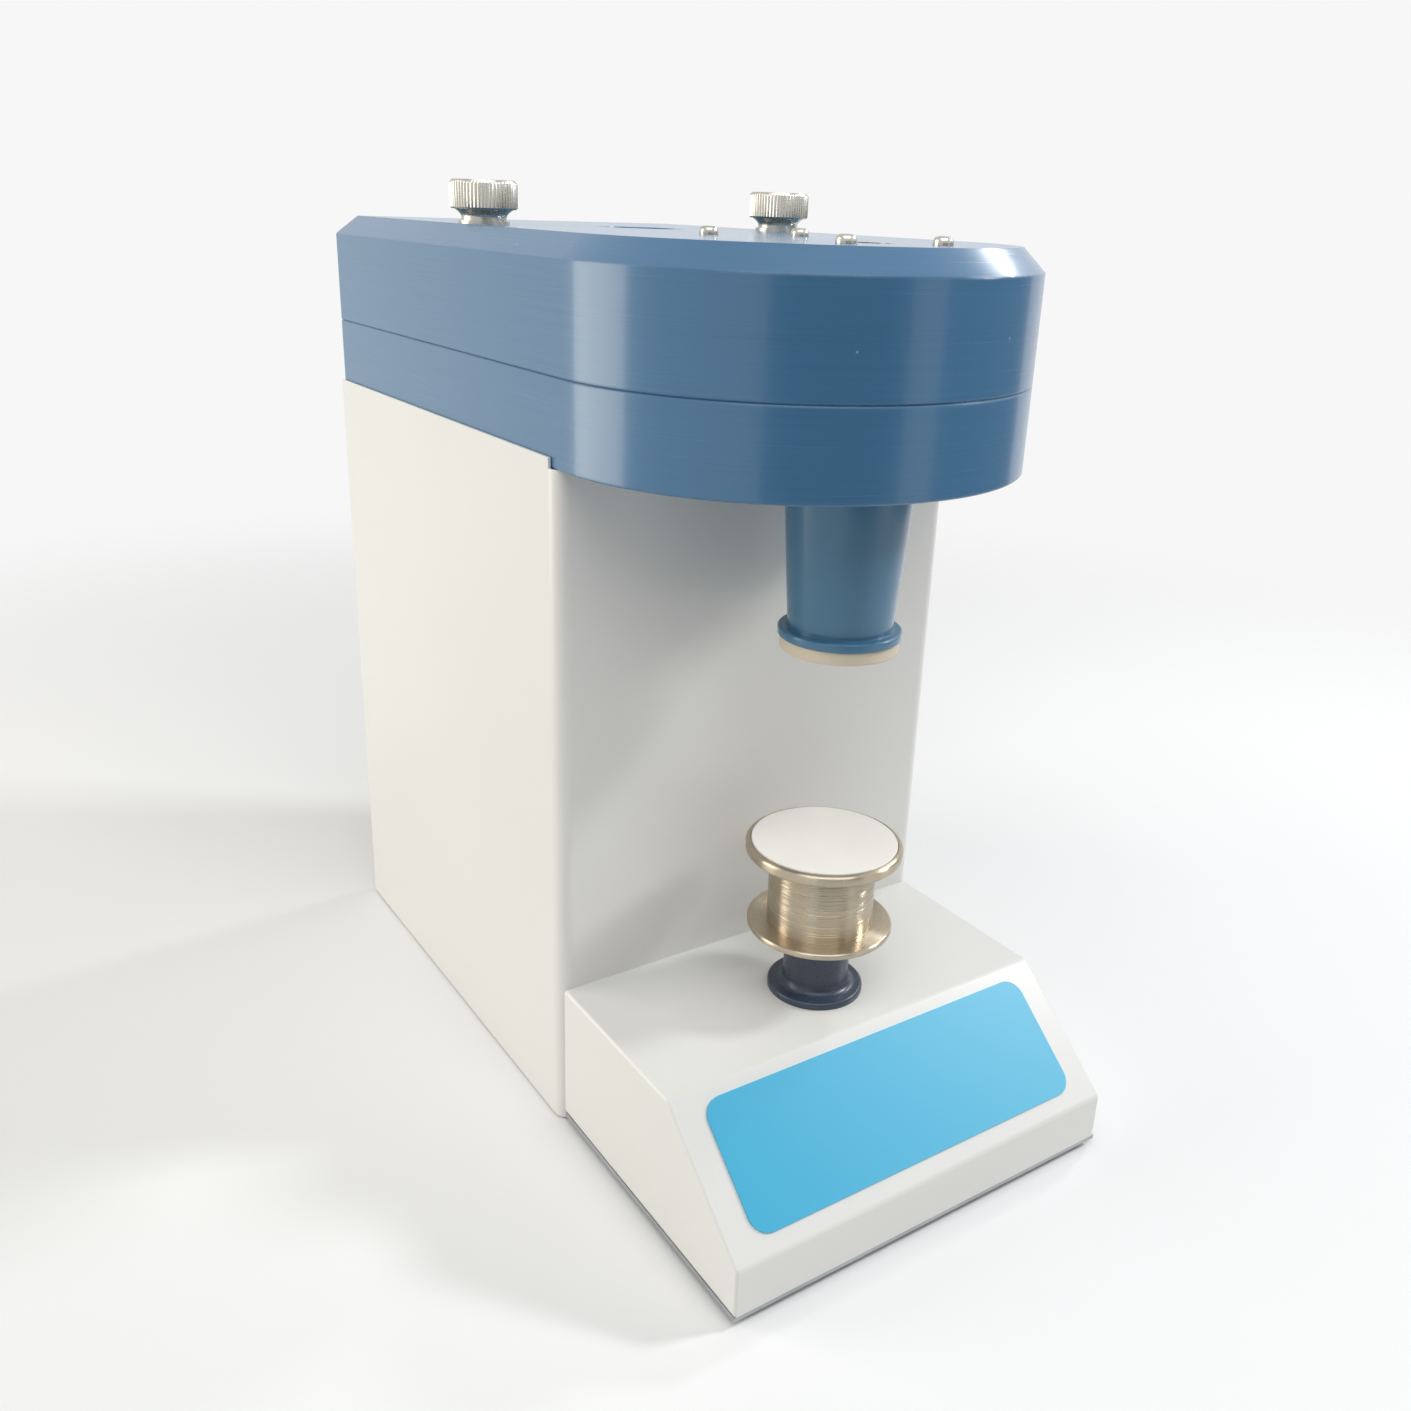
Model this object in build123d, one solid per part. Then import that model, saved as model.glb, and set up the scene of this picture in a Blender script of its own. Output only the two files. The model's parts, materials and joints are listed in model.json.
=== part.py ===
# Cyclone sample mill.
# A folded sheet cabinet carries a cast head, and the head's nose reaches out over a low sloping base.
# A motor in the cabinet turns an impeller inside the head. Ground sample is blown along a channel into
# the cyclone under the nose and drops into a bottle, which a sprung tray presses against a gasket.
#
# Millimetres, Z up. While it is being built, Y is 0 at the cabinet's front face and X is 0 in the middle.
# The finished pieces are then moved so that the origin is under the middle of the whole machine.
import math
import os

from build123d import *

# General fits
gap = 0.3
running_fit = 0.05
close_fit = 0.02
small_edge = 1.0
blind_depth = 2.0

# Cabinet
cabinet_width = 210.0
cabinet_depth = 259.0
cabinet_foot = 1.0
cabinet_lap = 4.4
sheet = 1.2
front_bend = 7.0
rear_bend = 3.0
rear_flange = 14.0
rail_width = 22.0
rail_end = 20.0
rail_screw_end = 30.0

# Floor plate and feet
foot_radius = 11.0
foot_height = 3.5
foot_inset = 26.0
plate_thickness = 2.0
plate_side_gap = 0.8
plate_screw_bite = 4.0

# Base
base_inset = 2.0
base_top = 72.8
base_flat = 89.0
base_reach = 142.5
lip_top = 27.7
base_sheet = 1.5
base_edge_radius = 1.6
bend_radius = 3.0
base_flange = 16.0
base_screw_front = 32.5
base_screw_back = 25.0

# Plate on the slope
label_side = 13.5
label_drop = 6.0
label_rise = 8.0
label_corner = 8.5
label_thickness = 0.8

# Head
head_bottom = 311.6
lower_height = 35.7
cover_height = 52.7
head_nose = 106.5
head_chamfer = 9.3
head_wall = 7.0
head_floor = 7.0
cover_top_wall = 8.0
parting_chamfer = 0.6
head_rear_radius = 4.0
bolt_boss = 8.0
bolt_boss_gap = 0.5
head_bolt_reach = 91.0
head_bolt_bite = 16.0
pin_reach = 56.0
pin_depth = 8.0
pin_rise = 6.0
seal_groove = 4.0
seal_groove_depth = 2.0

# Grinding chamber and rotor
chamber_y = 116.0
chamber_radius = 62.0
chamber_wall = 8.0
bowl_floor = 10.0
collector_width = 7.0
grinding_wall = 7.5
grinding_height = 24.0
grinding_teeth = 48
grinding_notch = 1.0
sieve_inset = 3.0
sieve_wall = 1.2
sieve_height = 18.0
sieve_slot = 3.2
sieve_slot_count = 24
sieve_band = 3.0
impeller_gap = 1.5
impeller_disc = 4.0
impeller_hub = 14.0
impeller_hub_rise = 12.0
impeller_lift = 2.5
blade_count = 12
blade_thickness = 2.5
blade_root_gap = 5.0
blade_drop = 6.0
rotor_nut_radius = 12.0
rotor_nut_height = 9.0
seal_radius = 14.0
seal_height = 8.0

# Cyclone
cyclone_y = -53.0
cone_top_radius = 26.75
cone_foot_radius = 22.1
cone_wall = 2.2
cone_rim_radius = 33.0
cone_rim = 3.0
cone_flange_radius = 26.1
cone_flange = 4.0
cone_length = 67.4
cone_outlet = 11.0
cone_edge = 0.8
barrel_wall = 7.0
gasket_radius = 25.1
gasket_height = 5.7
gasket_edge = 1.2
channel_width = 16.0
channel_wall = 6.0
channel_floor = 13.0
vortex_radius = 10.0
vortex_wall = 1.0
vortex_reach = 11.6
vortex_flange = 18.0
vortex_flange_thickness = 2.0
duct_plate_thickness = 3.0
duct_plate_inset = 8.5

# Cover details
feed_bore = 14.0
feed_wall = 2.0
feed_rim = 20.0
feed_rim_height = 1.5
feed_flare = 3.0
feed_flare_depth = 5.0
chamber_plate_gap = 0.4
chamber_plate_thickness = 6.0
chamber_screw_length = 10.0
chamber_screw_sink = 0.5
chamber_screw_circle = 40.3
cover_screw_x = 23.5
cover_screw_front = 16.3
cover_screw_pitch = 90.0
cover_boss = 6.5

# Knurled thumb screws
thumb_radius = 15.0
thumb_knurl_height = 12.2
thumb_height = 18.4
thumb_neck = 10.0
thumb_foot = 11.3
thumb_foot_height = 1.4
thumb_shank = 4.0
thumb_depth = 20.0
thumb_boss = 10.0
thumb_boss_gap = 1.0
knurl_count = 44
knurl_depth = 0.7

# Sample tray
bottle_height = 90.2
tray_height = 42.8
pad_radius = 32.7
pad_height = 3.0
pad_proud = 0.6
pad_edge = 0.5
rim_radius = 35.2
rim_height = 5.0
waist_radius = 24.0
tray_flange_radius = 33.0
tray_flange = 3.0
tray_edge = 1.0
tray_roof = 6.0
stem_radius = 8.0
stem_spigot = 6.0
stem_tail = 3.0
stem_groove = 1.5
clip_radius = 11.5
clip_thickness = 1.6
clip_mouth = 9.6

# Black guide bush on the base
bush_radius = 15.0
bush_height = 42.2
bush_flange_radius = 22.0
bush_flange = 3.2
bush_flange_edge = 1.2
bush_fillet = 4.0
bush_tail_radius = 11.0
bush_nut_radius = 17.0
bush_nut_height = 6.0
spring_seat_height = 17.2
spring_radius = 10.4
spring_wire = 1.4
spring_gap = 0.6
spring_turns = 7

# Motor
motor_radius = 60.0
motor_wall = 6.0
motor_length = 124.0
upper_bracket = 11.6
lower_bracket = 12.0
motor_bolt_gap = 2.0
motor_bolt_bite = 7.0
motor_groove = 4.0
motor_groove_depth = 1.5
motor_groove_pitch = 13.0
motor_groove_count = 8
motor_groove_start = 14.0
bearing_radius = 17.5
bearing_height = 11.0
bearing_seal_inset = 2.5
bearing_seal_depth = 0.5
bearing_hub = 24.0
hub_drop = 10.0
shaft_radius = 7.5
shaft_body_radius = 10.0
shaft_end = 2.9
stator_bore = 33.0
stator_lift = 46.0
stator_height = 46.0
stator_slot = 3.0
stator_slot_count = 12
air_gap = 0.7
winding_height = 13.0
winding_gap = 4.0
winding_edge = 3.0
fan_lift = 14.0
fan_height = 13.0
fan_radius = 47.0
fan_hub = 15.0
fan_disc = 2.0
fan_blades = 9
air_hole_radius = 8.0
air_hole_circle = 39.0
air_hole_count = 8
deck_thickness = 2.0
deck_flange = 15.0
deck_hole_gap = 3.0

# Rear fittings
panel_inset = 3.5
panel_corner = 3.0
panel_bottom = 10.0
panel_top_gap = 5.6
panel_screw_low = 10.0
panel_screw_drop = 16.6
panel_screw_rows = 4
vent_width = 62.0
vent_height = 4.0
vent_pitch = 11.0
vent_rows = 9
vent_bottom = 150.0
vent_middle = 22.0
inlet_x = -52.0
inlet_z = 48.0
inlet_width = 27.0
inlet_height = 20.0
inlet_depth = 22.0
inlet_wall = 2.0
inlet_floor = 4.0
inlet_flange_width = 50.0
inlet_flange_edge = 2.0
inlet_pin = (2.0, 5.0)
inlet_pin_sink = 3.0
inlet_pins = [(-7.0, -2.0), (0.0, 3.0), (7.0, -2.0)]
fitting_flange = 2.0
fitting_corner = 1.5
switch_z = 92.0
switch_width = 15.0
switch_height = 24.0
switch_depth = 14.0
switch_lip = 1.8
switch_floor = 2.0
rocker_end_gap = 1.2
rocker_width = 11.0
rocker_height = 17.0
rocker_depth = 6.0
rocker_tilt = 8.0
rocker_pin = 1.5
rocker_dip = 1.6
rocker_root = 3.0
rocker_sink = 0.6
rocker_pin_reach = 0.8
capacitor_radius = 20.0
capacitor_height = 74.0
capacitor_edge = 1.5
capacitor_gap = 5.6
capacitor_y = 60.0
tag_size = (0.8, 6.4, 9.0)
tag_pitch = 16.0
clip_band = 1.2
clip_height = 16.0
clip_split = 10.0
clip_foot = (16.0, 16.0)

# Fasteners: head radius, head height, shank radius
m4_cap = (3.5, 3.8, 2.0)
m4_pan = (3.8, 2.5, 2.0)
m3_pan = (2.7, 1.8, 1.5)
m5_pan = (4.5, 3.2, 2.5)
m6_pan = (5.0, 3.5, 3.0)
socket_share = 0.86
recess_share = 0.45
recess_width = 0.8
crown_share = 0.6
rim_share = 0.45
cyclone_screw_bite = 5.0
panel_screw_bite = 5.0

# Heights and places that follow from the sizes above
half_width = cabinet_width / 2
cabinet_top = head_bottom + cabinet_lap
panel_front = cabinet_depth - sheet
panel_width = cabinet_width - 2 * panel_inset
panel_top = head_bottom - panel_top_gap
vent_x = (vent_width + vent_middle) / 2
back_reach = cabinet_depth + m4_pan[1]
middle_y = (back_reach - base_reach) / 2
plate_top = foot_height + plate_thickness
base_width = cabinet_width - 2 * base_inset
slope_length = math.hypot(base_reach - base_flat, base_top - lip_top)
label_length = base_width - 2 * label_side
label_height = slope_length - label_drop - label_rise

parting = head_bottom + lower_height
head_top = parting + cover_height
head_half = half_width - sheet - gap
nose_centre_y = head_half - head_nose
head_back = panel_front
bowl_bottom = head_bottom + bowl_floor
grinding_top = bowl_bottom + grinding_height
sieve_top = grinding_top + sieve_height
chamber_plate_height = sieve_top + chamber_plate_gap
chamber_plate_roof = chamber_plate_height + chamber_plate_thickness
chamber_screw_seat = chamber_plate_height + m4_pan[1] + chamber_screw_sink
grinding_outer = chamber_radius - collector_width
grinding_inner = grinding_outer - grinding_wall
sieve_inner = grinding_outer - sieve_inset
seal_middle = chamber_radius + chamber_wall / 2
impeller_radius = grinding_inner - impeller_gap
impeller_bottom = bowl_bottom + impeller_lift
impeller_top = impeller_bottom + impeller_disc + impeller_hub_rise
shaft_top = impeller_top + rotor_nut_height + shaft_end
thumb_x = chamber_radius + chamber_wall + thumb_boss + thumb_boss_gap

barrel_bottom = head_bottom + head_floor
barrel_radius = cone_rim_radius + gap
cone_bottom = head_bottom - cone_length
gasket_bottom = cone_bottom - gasket_height
vortex_bottom = head_bottom - vortex_reach
duct_plate_radius = head_half - head_wall - duct_plate_inset
duct_plate_top = parting + duct_plate_thickness
tray_top = gasket_bottom - bottle_height
tray_bottom = tray_top - tray_height
tray_rim_top = tray_top - pad_proud
pad_seat = tray_top - pad_height
tray_ceiling = pad_seat - tray_roof
bush_top = base_top + bush_height
spring_seat = base_top + spring_seat_height
bush_nut_top = base_top - base_sheet
stem_clip_top = bush_nut_top - bush_nut_height

motor_top = head_bottom - upper_bracket
motor_bottom = motor_top - motor_length
bracket_bottom = motor_bottom - lower_bracket
motor_bolt_circle = motor_radius + m5_pan[2] + motor_bolt_gap
bracket_radius = motor_bolt_circle + m5_pan[0]
stator_bottom = motor_bottom + stator_lift
stator_top = stator_bottom + stator_height
stator_outer = motor_radius - motor_wall
fan_bottom = motor_bottom + fan_lift
deck_hole = bracket_radius + deck_hole_gap
capacitor_x = half_width - sheet - rail_width - capacitor_gap - clip_band - capacitor_radius

FOOT = (Align.CENTER, Align.CENTER, Align.MIN)
CORNER = (Align.MIN, Align.MIN, Align.MIN)


def rod(radius, low, high, x=0.0, y=0.0):
    """Upright round bar between two heights."""
    return Pos(x, y, low) * Cylinder(radius, high - low, align=FOOT)


def ring(outer, inner, low, high, x=0.0, y=0.0):
    """Upright ring between two heights."""
    return rod(outer, low, high, x, y) - rod(inner, low, high, x, y)


def span(middle, width):
    """Range of a given width about its middle."""
    return (middle - width / 2, middle + width / 2)


def block(x_range, y_range, z_range):
    """Box between two opposite corners."""
    size = [high - low for low, high in (x_range, y_range, z_range)]
    return Pos(x_range[0], y_range[0], z_range[0]) * Box(*size, align=CORNER)


def turned(points, x=0.0, y=0.0):
    """Turned solid, from its section as (radius, height) points."""
    section = make_face(Polyline(*[(radius, 0, height) for radius, height in points], close=True))
    return Pos(x, y, 0) * revolve(section, Axis.Z)


def around(centre, radius, count, start=0.0):
    """Points spaced evenly on a circle."""
    angles = [math.radians(start + 360 * step / count) for step in range(count)]
    return [(centre[0] + radius * math.cos(a), centre[1] + radius * math.sin(a)) for a in angles]


def saw_edge(outer, inner, count):
    """Round face with a regular toothed edge."""
    tips = around((0, 0), outer, count)
    roots = around((0, 0), inner, count, 180 / count)
    points = [point for pair in zip(tips, roots) for point in pair]
    return make_face(Polyline(*points, close=True))


def group(pieces):
    """Several separate solids as one node."""
    return Compound([solid for piece in pieces for solid in piece.solids()])


def cap_screw(size, length):
    """Socket cap screw with its seat at Z 0 and its shank below."""
    head_radius, head_height, shank = size
    edge = head_height / 9
    head = turned([(0, 0), (head_radius, 0), (head_radius, head_height - edge),
                   (head_radius - edge, head_height), (0, head_height)])
    socket = Pos(0, 0, head_height / 2) * extrude(RegularPolygon(shank * socket_share, 6), head_height)
    return head + rod(shank, -length, 0) - socket


def pan_screw(size, length):
    """Cross-recessed pan-head screw with its seat at Z 0 and its shank below."""
    head_radius, head_height, shank = size
    head = turned([(0, 0), (head_radius, 0), (head_radius, head_height * rim_share),
                   (head_radius * crown_share, head_height), (0, head_height)])
    reach = head_radius * recess_share
    slot = block((-reach, reach), (-recess_width / 2, recess_width / 2), (head_height / 2, head_height))
    recess = slot + Rot(0, 0, 90) * slot
    return head + rod(shank, -length, 0) - recess


def d_plan(half, back):
    """D-shaped outline: straight sides, straight back and a half-round nose."""
    outline = Polyline((half, nose_centre_y), (half, back), (-half, back), (-half, nose_centre_y))
    front = ThreePointArc((-half, nose_centre_y), (0, nose_centre_y - half), (half, nose_centre_y))
    return make_face(outline.edges() + front.edges())


def head_block(inset, low, high):
    """Solid of the head's outline, drawn in by an inset."""
    plan = d_plan(head_half - inset, head_back - inset)
    return extrude(Pos(0, 0, low) * plan, high - low)


def soften_rear(head):
    """Round the two rear corners of a head casting, up through its chamfers."""
    edges = [e for e in head.edges()
             if abs(e.center().X) > head_half - head_chamfer and e.center().Y > head_back - head_chamfer
             and e.bounding_box().size.Z > parting_chamfer / 2]
    return fillet(edges, head_rear_radius)


def edges_at_height(solid, height):
    """Edges that lie flat at one height."""
    return [e for e in solid.edges() if abs(e.bounding_box().min.Z - height) < 0.01
            and abs(e.bounding_box().max.Z - height) < 0.01]


def mirrored(x, rows):
    """Places at both sides of the middle, one pair for each row."""
    return [(side * x, y) for side in (-1, 1) for y in rows]


motor_bolt_places = around((0, chamber_y), motor_bolt_circle, 4, 45)
cyclone_screw_places = around((0, cyclone_y), cone_rim_radius - m3_pan[0] - gap / 3, 3, 90)
chamber_screw_places = around((0, chamber_y), chamber_screw_circle, 3, 30)
cover_screw_row = cyclone_y - cover_screw_front
cover_screw_places = mirrored(cover_screw_x, (cover_screw_row, cover_screw_row + cover_screw_pitch))
head_bolt_x = head_half - head_wall - bolt_boss - bolt_boss_gap
head_bolt_places = mirrored(head_bolt_x, (chamber_y - head_bolt_reach, chamber_y + head_bolt_reach))
pin_places = mirrored(head_bolt_x, (chamber_y - pin_reach,))
foot_places = mirrored(base_width / 2 - foot_inset, (foot_inset - base_reach, head_back - foot_inset))
base_screw_rows = (base_screw_front - base_reach, -base_screw_back)
plate_screw_places = mirrored((base_width - base_flange) / 2, base_screw_rows)
rail_rows = (rail_end + rail_screw_end, cabinet_depth - rail_end - rail_screw_end)
rail_screw_places = mirrored(half_width - sheet - rail_width / 2, rail_rows)
panel_screw_x = half_width - sheet - rear_flange / 2
panel_screw_bottom = panel_bottom + panel_screw_low
panel_screw_top = head_bottom - deck_thickness - deck_flange - panel_screw_drop
panel_screw_step = (panel_screw_top - panel_screw_bottom) / (panel_screw_rows - 1)
panel_screw_heights = [panel_screw_bottom + row * panel_screw_step for row in range(panel_screw_rows)]


def make_bottom_plate():
    """Flat plate under the base and the cabinet, notched for the cabinet's front corners."""
    half = half_width - sheet - plate_side_gap
    plate = block((-base_width / 2, base_width / 2), (-base_reach, 0), (foot_height, plate_top))
    plate += block((-half, half), (0, head_back - sheet - gap), (foot_height, plate_top))
    for side in (-1, 1):
        inner = side * (half_width - front_bend - gap)
        outer = side * half_width
        corner = (min(inner, outer), max(inner, outer))
        plate -= block(corner, (-gap, front_bend + gap), (foot_height, plate_top))
        flange = side * (half_width - sheet - rear_flange - gap)
        corner = (min(flange, outer), max(flange, outer))
        plate -= block(corner, (head_back - rear_bend - sheet, head_back), (foot_height, plate_top))
    for x, y in plate_screw_places + rail_screw_places:
        plate -= rod(m4_pan[2] + running_fit, foot_height, plate_top, x, y)
    return plate


def make_feet():
    """Four rubber discs, a little narrower at the floor."""
    profile = [(0, 0), (foot_radius - small_edge, 0), (foot_radius, small_edge),
               (foot_radius, foot_height), (0, foot_height)]
    return group([turned(profile, x, y) for x, y in foot_places])


def make_plate_screws():
    """Screws up through the floor plate into the base's flanges and the side rails."""
    seat = Rot(180, 0, 0) * pan_screw(m4_pan, plate_thickness + base_sheet + plate_screw_bite)
    return group([Pos(x, y, foot_height) * seat for x, y in plate_screw_places + rail_screw_places])


def make_cabinet_shell():
    """Front and sides folded from one sheet, with flanges turned in at the rear."""
    depth = panel_front
    outer = Pos(0, depth / 2) * Rectangle(cabinet_width, depth)
    front_corners = outer.vertices().sort_by(Axis.Y)[:2]
    outer = fillet(front_corners, front_bend)
    outer = fillet(outer.vertices().sort_by(Axis.Y)[-2:], rear_bend)
    inner = offset(outer, -sheet)
    opening = Pos(0, depth - sheet / 2) * Rectangle(2 * (half_width - sheet - rear_flange), sheet * 3)
    plan = outer - inner - opening
    shell = extrude(Pos(0, 0, cabinet_foot) * plan, cabinet_top - cabinet_foot)
    wide = (-half_width, half_width)
    shell -= block(wide, (0, front_bend), (head_bottom, cabinet_top))
    shell -= block(wide, (depth - rear_bend, depth), (head_bottom, cabinet_top))
    notch = half_width - front_bend
    shell -= block((-notch, notch), (0, sheet), (cabinet_foot, plate_top))
    shell -= block((-notch, notch), (depth - sheet, depth), (cabinet_foot, plate_top))
    for side in (-1, 1):
        for height in panel_screw_heights:
            place = Pos(side * panel_screw_x, depth, height) * Rot(90, 0, 0)
            shell -= place * Cylinder(m4_pan[2] + running_fit, sheet * 4)
    return shell


def make_side_rails():
    """Angle strips that tie the side sheets to the floor plate."""
    rails = []
    wall = half_width - sheet
    for side in (-1, 1):
        foot = sorted([side * wall, side * (wall - rail_width)])
        upright = sorted([side * wall, side * (wall - base_sheet)])
        length = (rail_end, cabinet_depth - rail_end)
        rail = block(foot, length, (plate_top, plate_top + base_sheet))
        rail += block(upright, length, (plate_top, plate_top + rail_width))
        for x, y in rail_screw_places:
            rail -= rod(m4_pan[2] + running_fit, plate_top, plate_top + base_sheet, x, y)
        rails.append(rail)
    return group(rails)


def make_deck_plate():
    """Folded plate across the cabinet's top that carries the head."""
    low = head_bottom - deck_thickness
    half = half_width - sheet - gap
    front = sheet + gap
    back = panel_front - sheet - gap
    corner = front_bend - sheet
    plan = Pos(0, (front + back) / 2) * Rectangle(2 * half, back - front)
    plan = fillet(plan.vertices(), corner)
    deck = extrude(Pos(0, 0, low - deck_flange) * plan, deck_thickness + deck_flange)
    pocket = extrude(Pos(0, 0, low - deck_flange) * offset(plan, -deck_thickness), deck_flange)
    deck -= pocket
    deck -= rod(deck_hole, low, head_bottom, 0, chamber_y)
    for x, y in head_bolt_places:
        deck -= rod(m6_pan[2] + running_fit, low, head_bottom, x, y)
    return deck


def make_back_panel():
    """Screwed rear panel with two banks of vent slots and cut-outs for the fittings."""
    cut = (panel_front, cabinet_depth)
    panel = block(span(0, panel_width), cut, (panel_bottom, panel_top))
    panel = fillet(panel.edges().filter_by(Axis.Y), panel_corner)
    slot = Rot(90, 0, 0) * SlotOverall(vent_width, vent_height)
    for side in (-1, 1):
        for row in range(vent_rows):
            place = Pos(side * vent_x, cabinet_depth + sheet, vent_bottom + row * vent_pitch)
            panel -= extrude(place * slot, sheet * 3, dir=(0, -1, 0))
        for height in panel_screw_heights:
            place = Pos(side * panel_screw_x, panel_front, height) * Rot(90, 0, 0)
            panel -= place * Cylinder(m4_pan[2] + running_fit, sheet * 4)
    panel -= block(span(inlet_x, inlet_width + 2 * gap), cut, span(inlet_z, inlet_height + 2 * gap))
    panel -= block(span(inlet_x, switch_width + 2 * gap), cut, span(switch_z, switch_height + 2 * gap))
    return panel


def make_back_panel_screws():
    """Pan-head screws along both sides of the rear panel."""
    screw = Rot(-90, 0, 0) * pan_screw(m4_pan, sheet * 2 + panel_screw_bite)
    return group([Pos(side * panel_screw_x, cabinet_depth, height) * screw
                  for side in (-1, 1) for height in panel_screw_heights])


def base_profile(inset, floor):
    """Side outline of the base, drawn in by a wall thickness."""
    slope = math.atan2(base_top - lip_top, base_reach - base_flat)
    shift = inset * math.tan(slope / 2)
    lip_shift = inset * math.tan((math.pi / 2 - slope) / 2)
    points = [(0, 0, floor), (0, -base_reach + inset, floor), (0, -base_reach + inset, lip_top - lip_shift),
              (0, -base_flat + shift, base_top - inset), (0, 0, base_top - inset)]
    return make_face(Polyline(*points, close=True))


def make_base_shell():
    """Folded hollow base with a flat top, a slope and a short front skirt."""
    half = base_width / 2
    body = extrude(Pos(-half, 0, 0) * base_profile(0, plate_top), base_width, dir=(1, 0, 0))
    bends = [e for e in body.edges().filter_by(Axis.X)
             if e.center().Z > plate_top + base_sheet and e.center().Y < -base_sheet]
    body = fillet(bends, bend_radius)
    rims = [e for e in body.edges() if abs(abs(e.center().X) - half) < 0.01 and e.center().Y < -0.01]
    body = fillet(rims, base_edge_radius)
    inner_half = half - base_sheet
    hollow = extrude(Pos(-inner_half, 0, 0) * base_profile(base_sheet, plate_top + base_sheet),
                     2 * inner_half, dir=(1, 0, 0))
    body -= hollow
    body -= block((-half + base_flange, half - base_flange), (-base_reach + base_flange, 0),
                  (plate_top, plate_top + base_sheet))
    body -= rod(bush_tail_radius + gap, base_top - base_sheet, base_top, 0, cyclone_y)
    for x, y in plate_screw_places:
        body -= rod(m4_pan[2] + running_fit, plate_top, plate_top + base_sheet, x, y)
    return body


def make_name_plate():
    """Thin bare plate with round corners on the slope."""
    along = Vector(0, base_flat - base_reach, lip_top - base_top).normalized()
    top_edge = Vector(0, -base_flat, base_top)
    middle = top_edge + along * (label_drop + label_height / 2)
    plane = Plane(origin=middle, x_dir=(1, 0, 0), z_dir=Vector(1, 0, 0).cross(along * -1))
    face = plane * RectangleRounded(label_length, label_height, label_corner)
    return extrude(face, label_thickness)


def make_lower_housing():
    """Lower casting: tray with the grinding bowl, the cyclone barrel and the channel between them."""
    body = soften_rear(head_block(0, head_bottom, parting))
    body = chamfer(edges_at_height(body, parting), parting_chamfer)
    body = chamfer(edges_at_height(body, head_bottom), parting_chamfer)
    body -= head_block(head_wall, barrel_bottom, parting)
    body += rod(chamber_radius + chamber_wall, barrel_bottom, parting, 0, chamber_y)
    body += rod(barrel_radius + barrel_wall, barrel_bottom, parting, 0, cyclone_y)
    right = barrel_radius
    left = barrel_radius - channel_width
    channel_bottom = head_bottom + channel_floor
    body += block((left - channel_wall, right + channel_wall), (cyclone_y, chamber_y - chamber_radius),
                  (barrel_bottom, parting))
    for x, y in head_bolt_places + pin_places:
        body += rod(bolt_boss, barrel_bottom, parting, x, y)
    for side in (-1, 1):
        body += rod(thumb_boss, barrel_bottom, parting, side * thumb_x, chamber_y)
    body -= rod(chamber_radius, bowl_bottom, parting, 0, chamber_y)
    body -= rod(barrel_radius, barrel_bottom, parting, 0, cyclone_y)
    channel_end = chamber_y - chamber_radius + right / 2
    body -= block((left, right), (cyclone_y, channel_end), (channel_bottom, parting))
    body -= rod(cone_top_radius + gap, head_bottom, barrel_bottom, 0, cyclone_y)
    body -= rod(seal_radius, head_bottom, bowl_bottom, 0, chamber_y)
    body += ring(seal_radius, shaft_body_radius, head_bottom, bowl_bottom - seal_height, 0, chamber_y)
    groove_out = seal_middle + seal_groove / 2
    groove_in = seal_middle - seal_groove / 2
    body -= ring(groove_out, groove_in, parting - seal_groove_depth, parting, 0, chamber_y)
    for side in (-1, 1):
        body -= rod(thumb_shank + running_fit, parting - thumb_depth, parting, side * thumb_x, chamber_y)
    for x, y in head_bolt_places:
        body -= rod(m6_pan[2] + close_fit, head_bottom, head_bottom + head_bolt_bite + blind_depth, x, y)
    for x, y in pin_places:
        body -= rod(m6_pan[2], parting - pin_depth, parting, x, y)
    for x, y in motor_bolt_places:
        depth = motor_bolt_bite + blind_depth
        body -= rod(m5_pan[2] + close_fit, head_bottom, head_bottom + depth, x, y)
    for x, y in cyclone_screw_places:
        body -= rod(m3_pan[2] + close_fit, barrel_bottom - cyclone_screw_bite, barrel_bottom, x, y)
    return body


def make_head_bolts():
    """Bolts up through the deck into the casting's bosses."""
    bolt = Rot(180, 0, 0) * pan_screw(m6_pan, deck_thickness + head_bolt_bite)
    return group([Pos(x, y, head_bottom - deck_thickness) * bolt for x, y in head_bolt_places])


def make_locating_pins():
    """Two dowels that line the cover up with the lower casting."""
    radius = m6_pan[2]
    low = parting - pin_depth
    high = parting + pin_rise
    profile = [(0, low), (radius, low), (radius, high - small_edge), (radius - small_edge, high), (0, high)]
    return group([turned(profile, x, y) for x, y in pin_places])


def make_chamber_seal():
    """Flat rubber ring in the groove round the grinding bowl."""
    half = seal_groove / 2 - gap
    low = parting - seal_groove_depth
    return ring(seal_middle + half, seal_middle - half, low, parting - gap, 0, chamber_y)


def make_shaft_seal():
    """Lip seal in the bowl's floor, round the motor shaft."""
    return ring(seal_radius, shaft_radius + running_fit, bowl_bottom - seal_height, bowl_bottom, 0, chamber_y)


def make_grinding_ring():
    """Abrasive ring with shallow notches all round its bore."""
    teeth = saw_edge(grinding_inner + grinding_notch, grinding_inner, grinding_teeth)
    bore = extrude(Pos(0, chamber_y, bowl_bottom) * teeth, grinding_height)
    return rod(grinding_outer, bowl_bottom, grinding_top, 0, chamber_y) - bore


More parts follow.
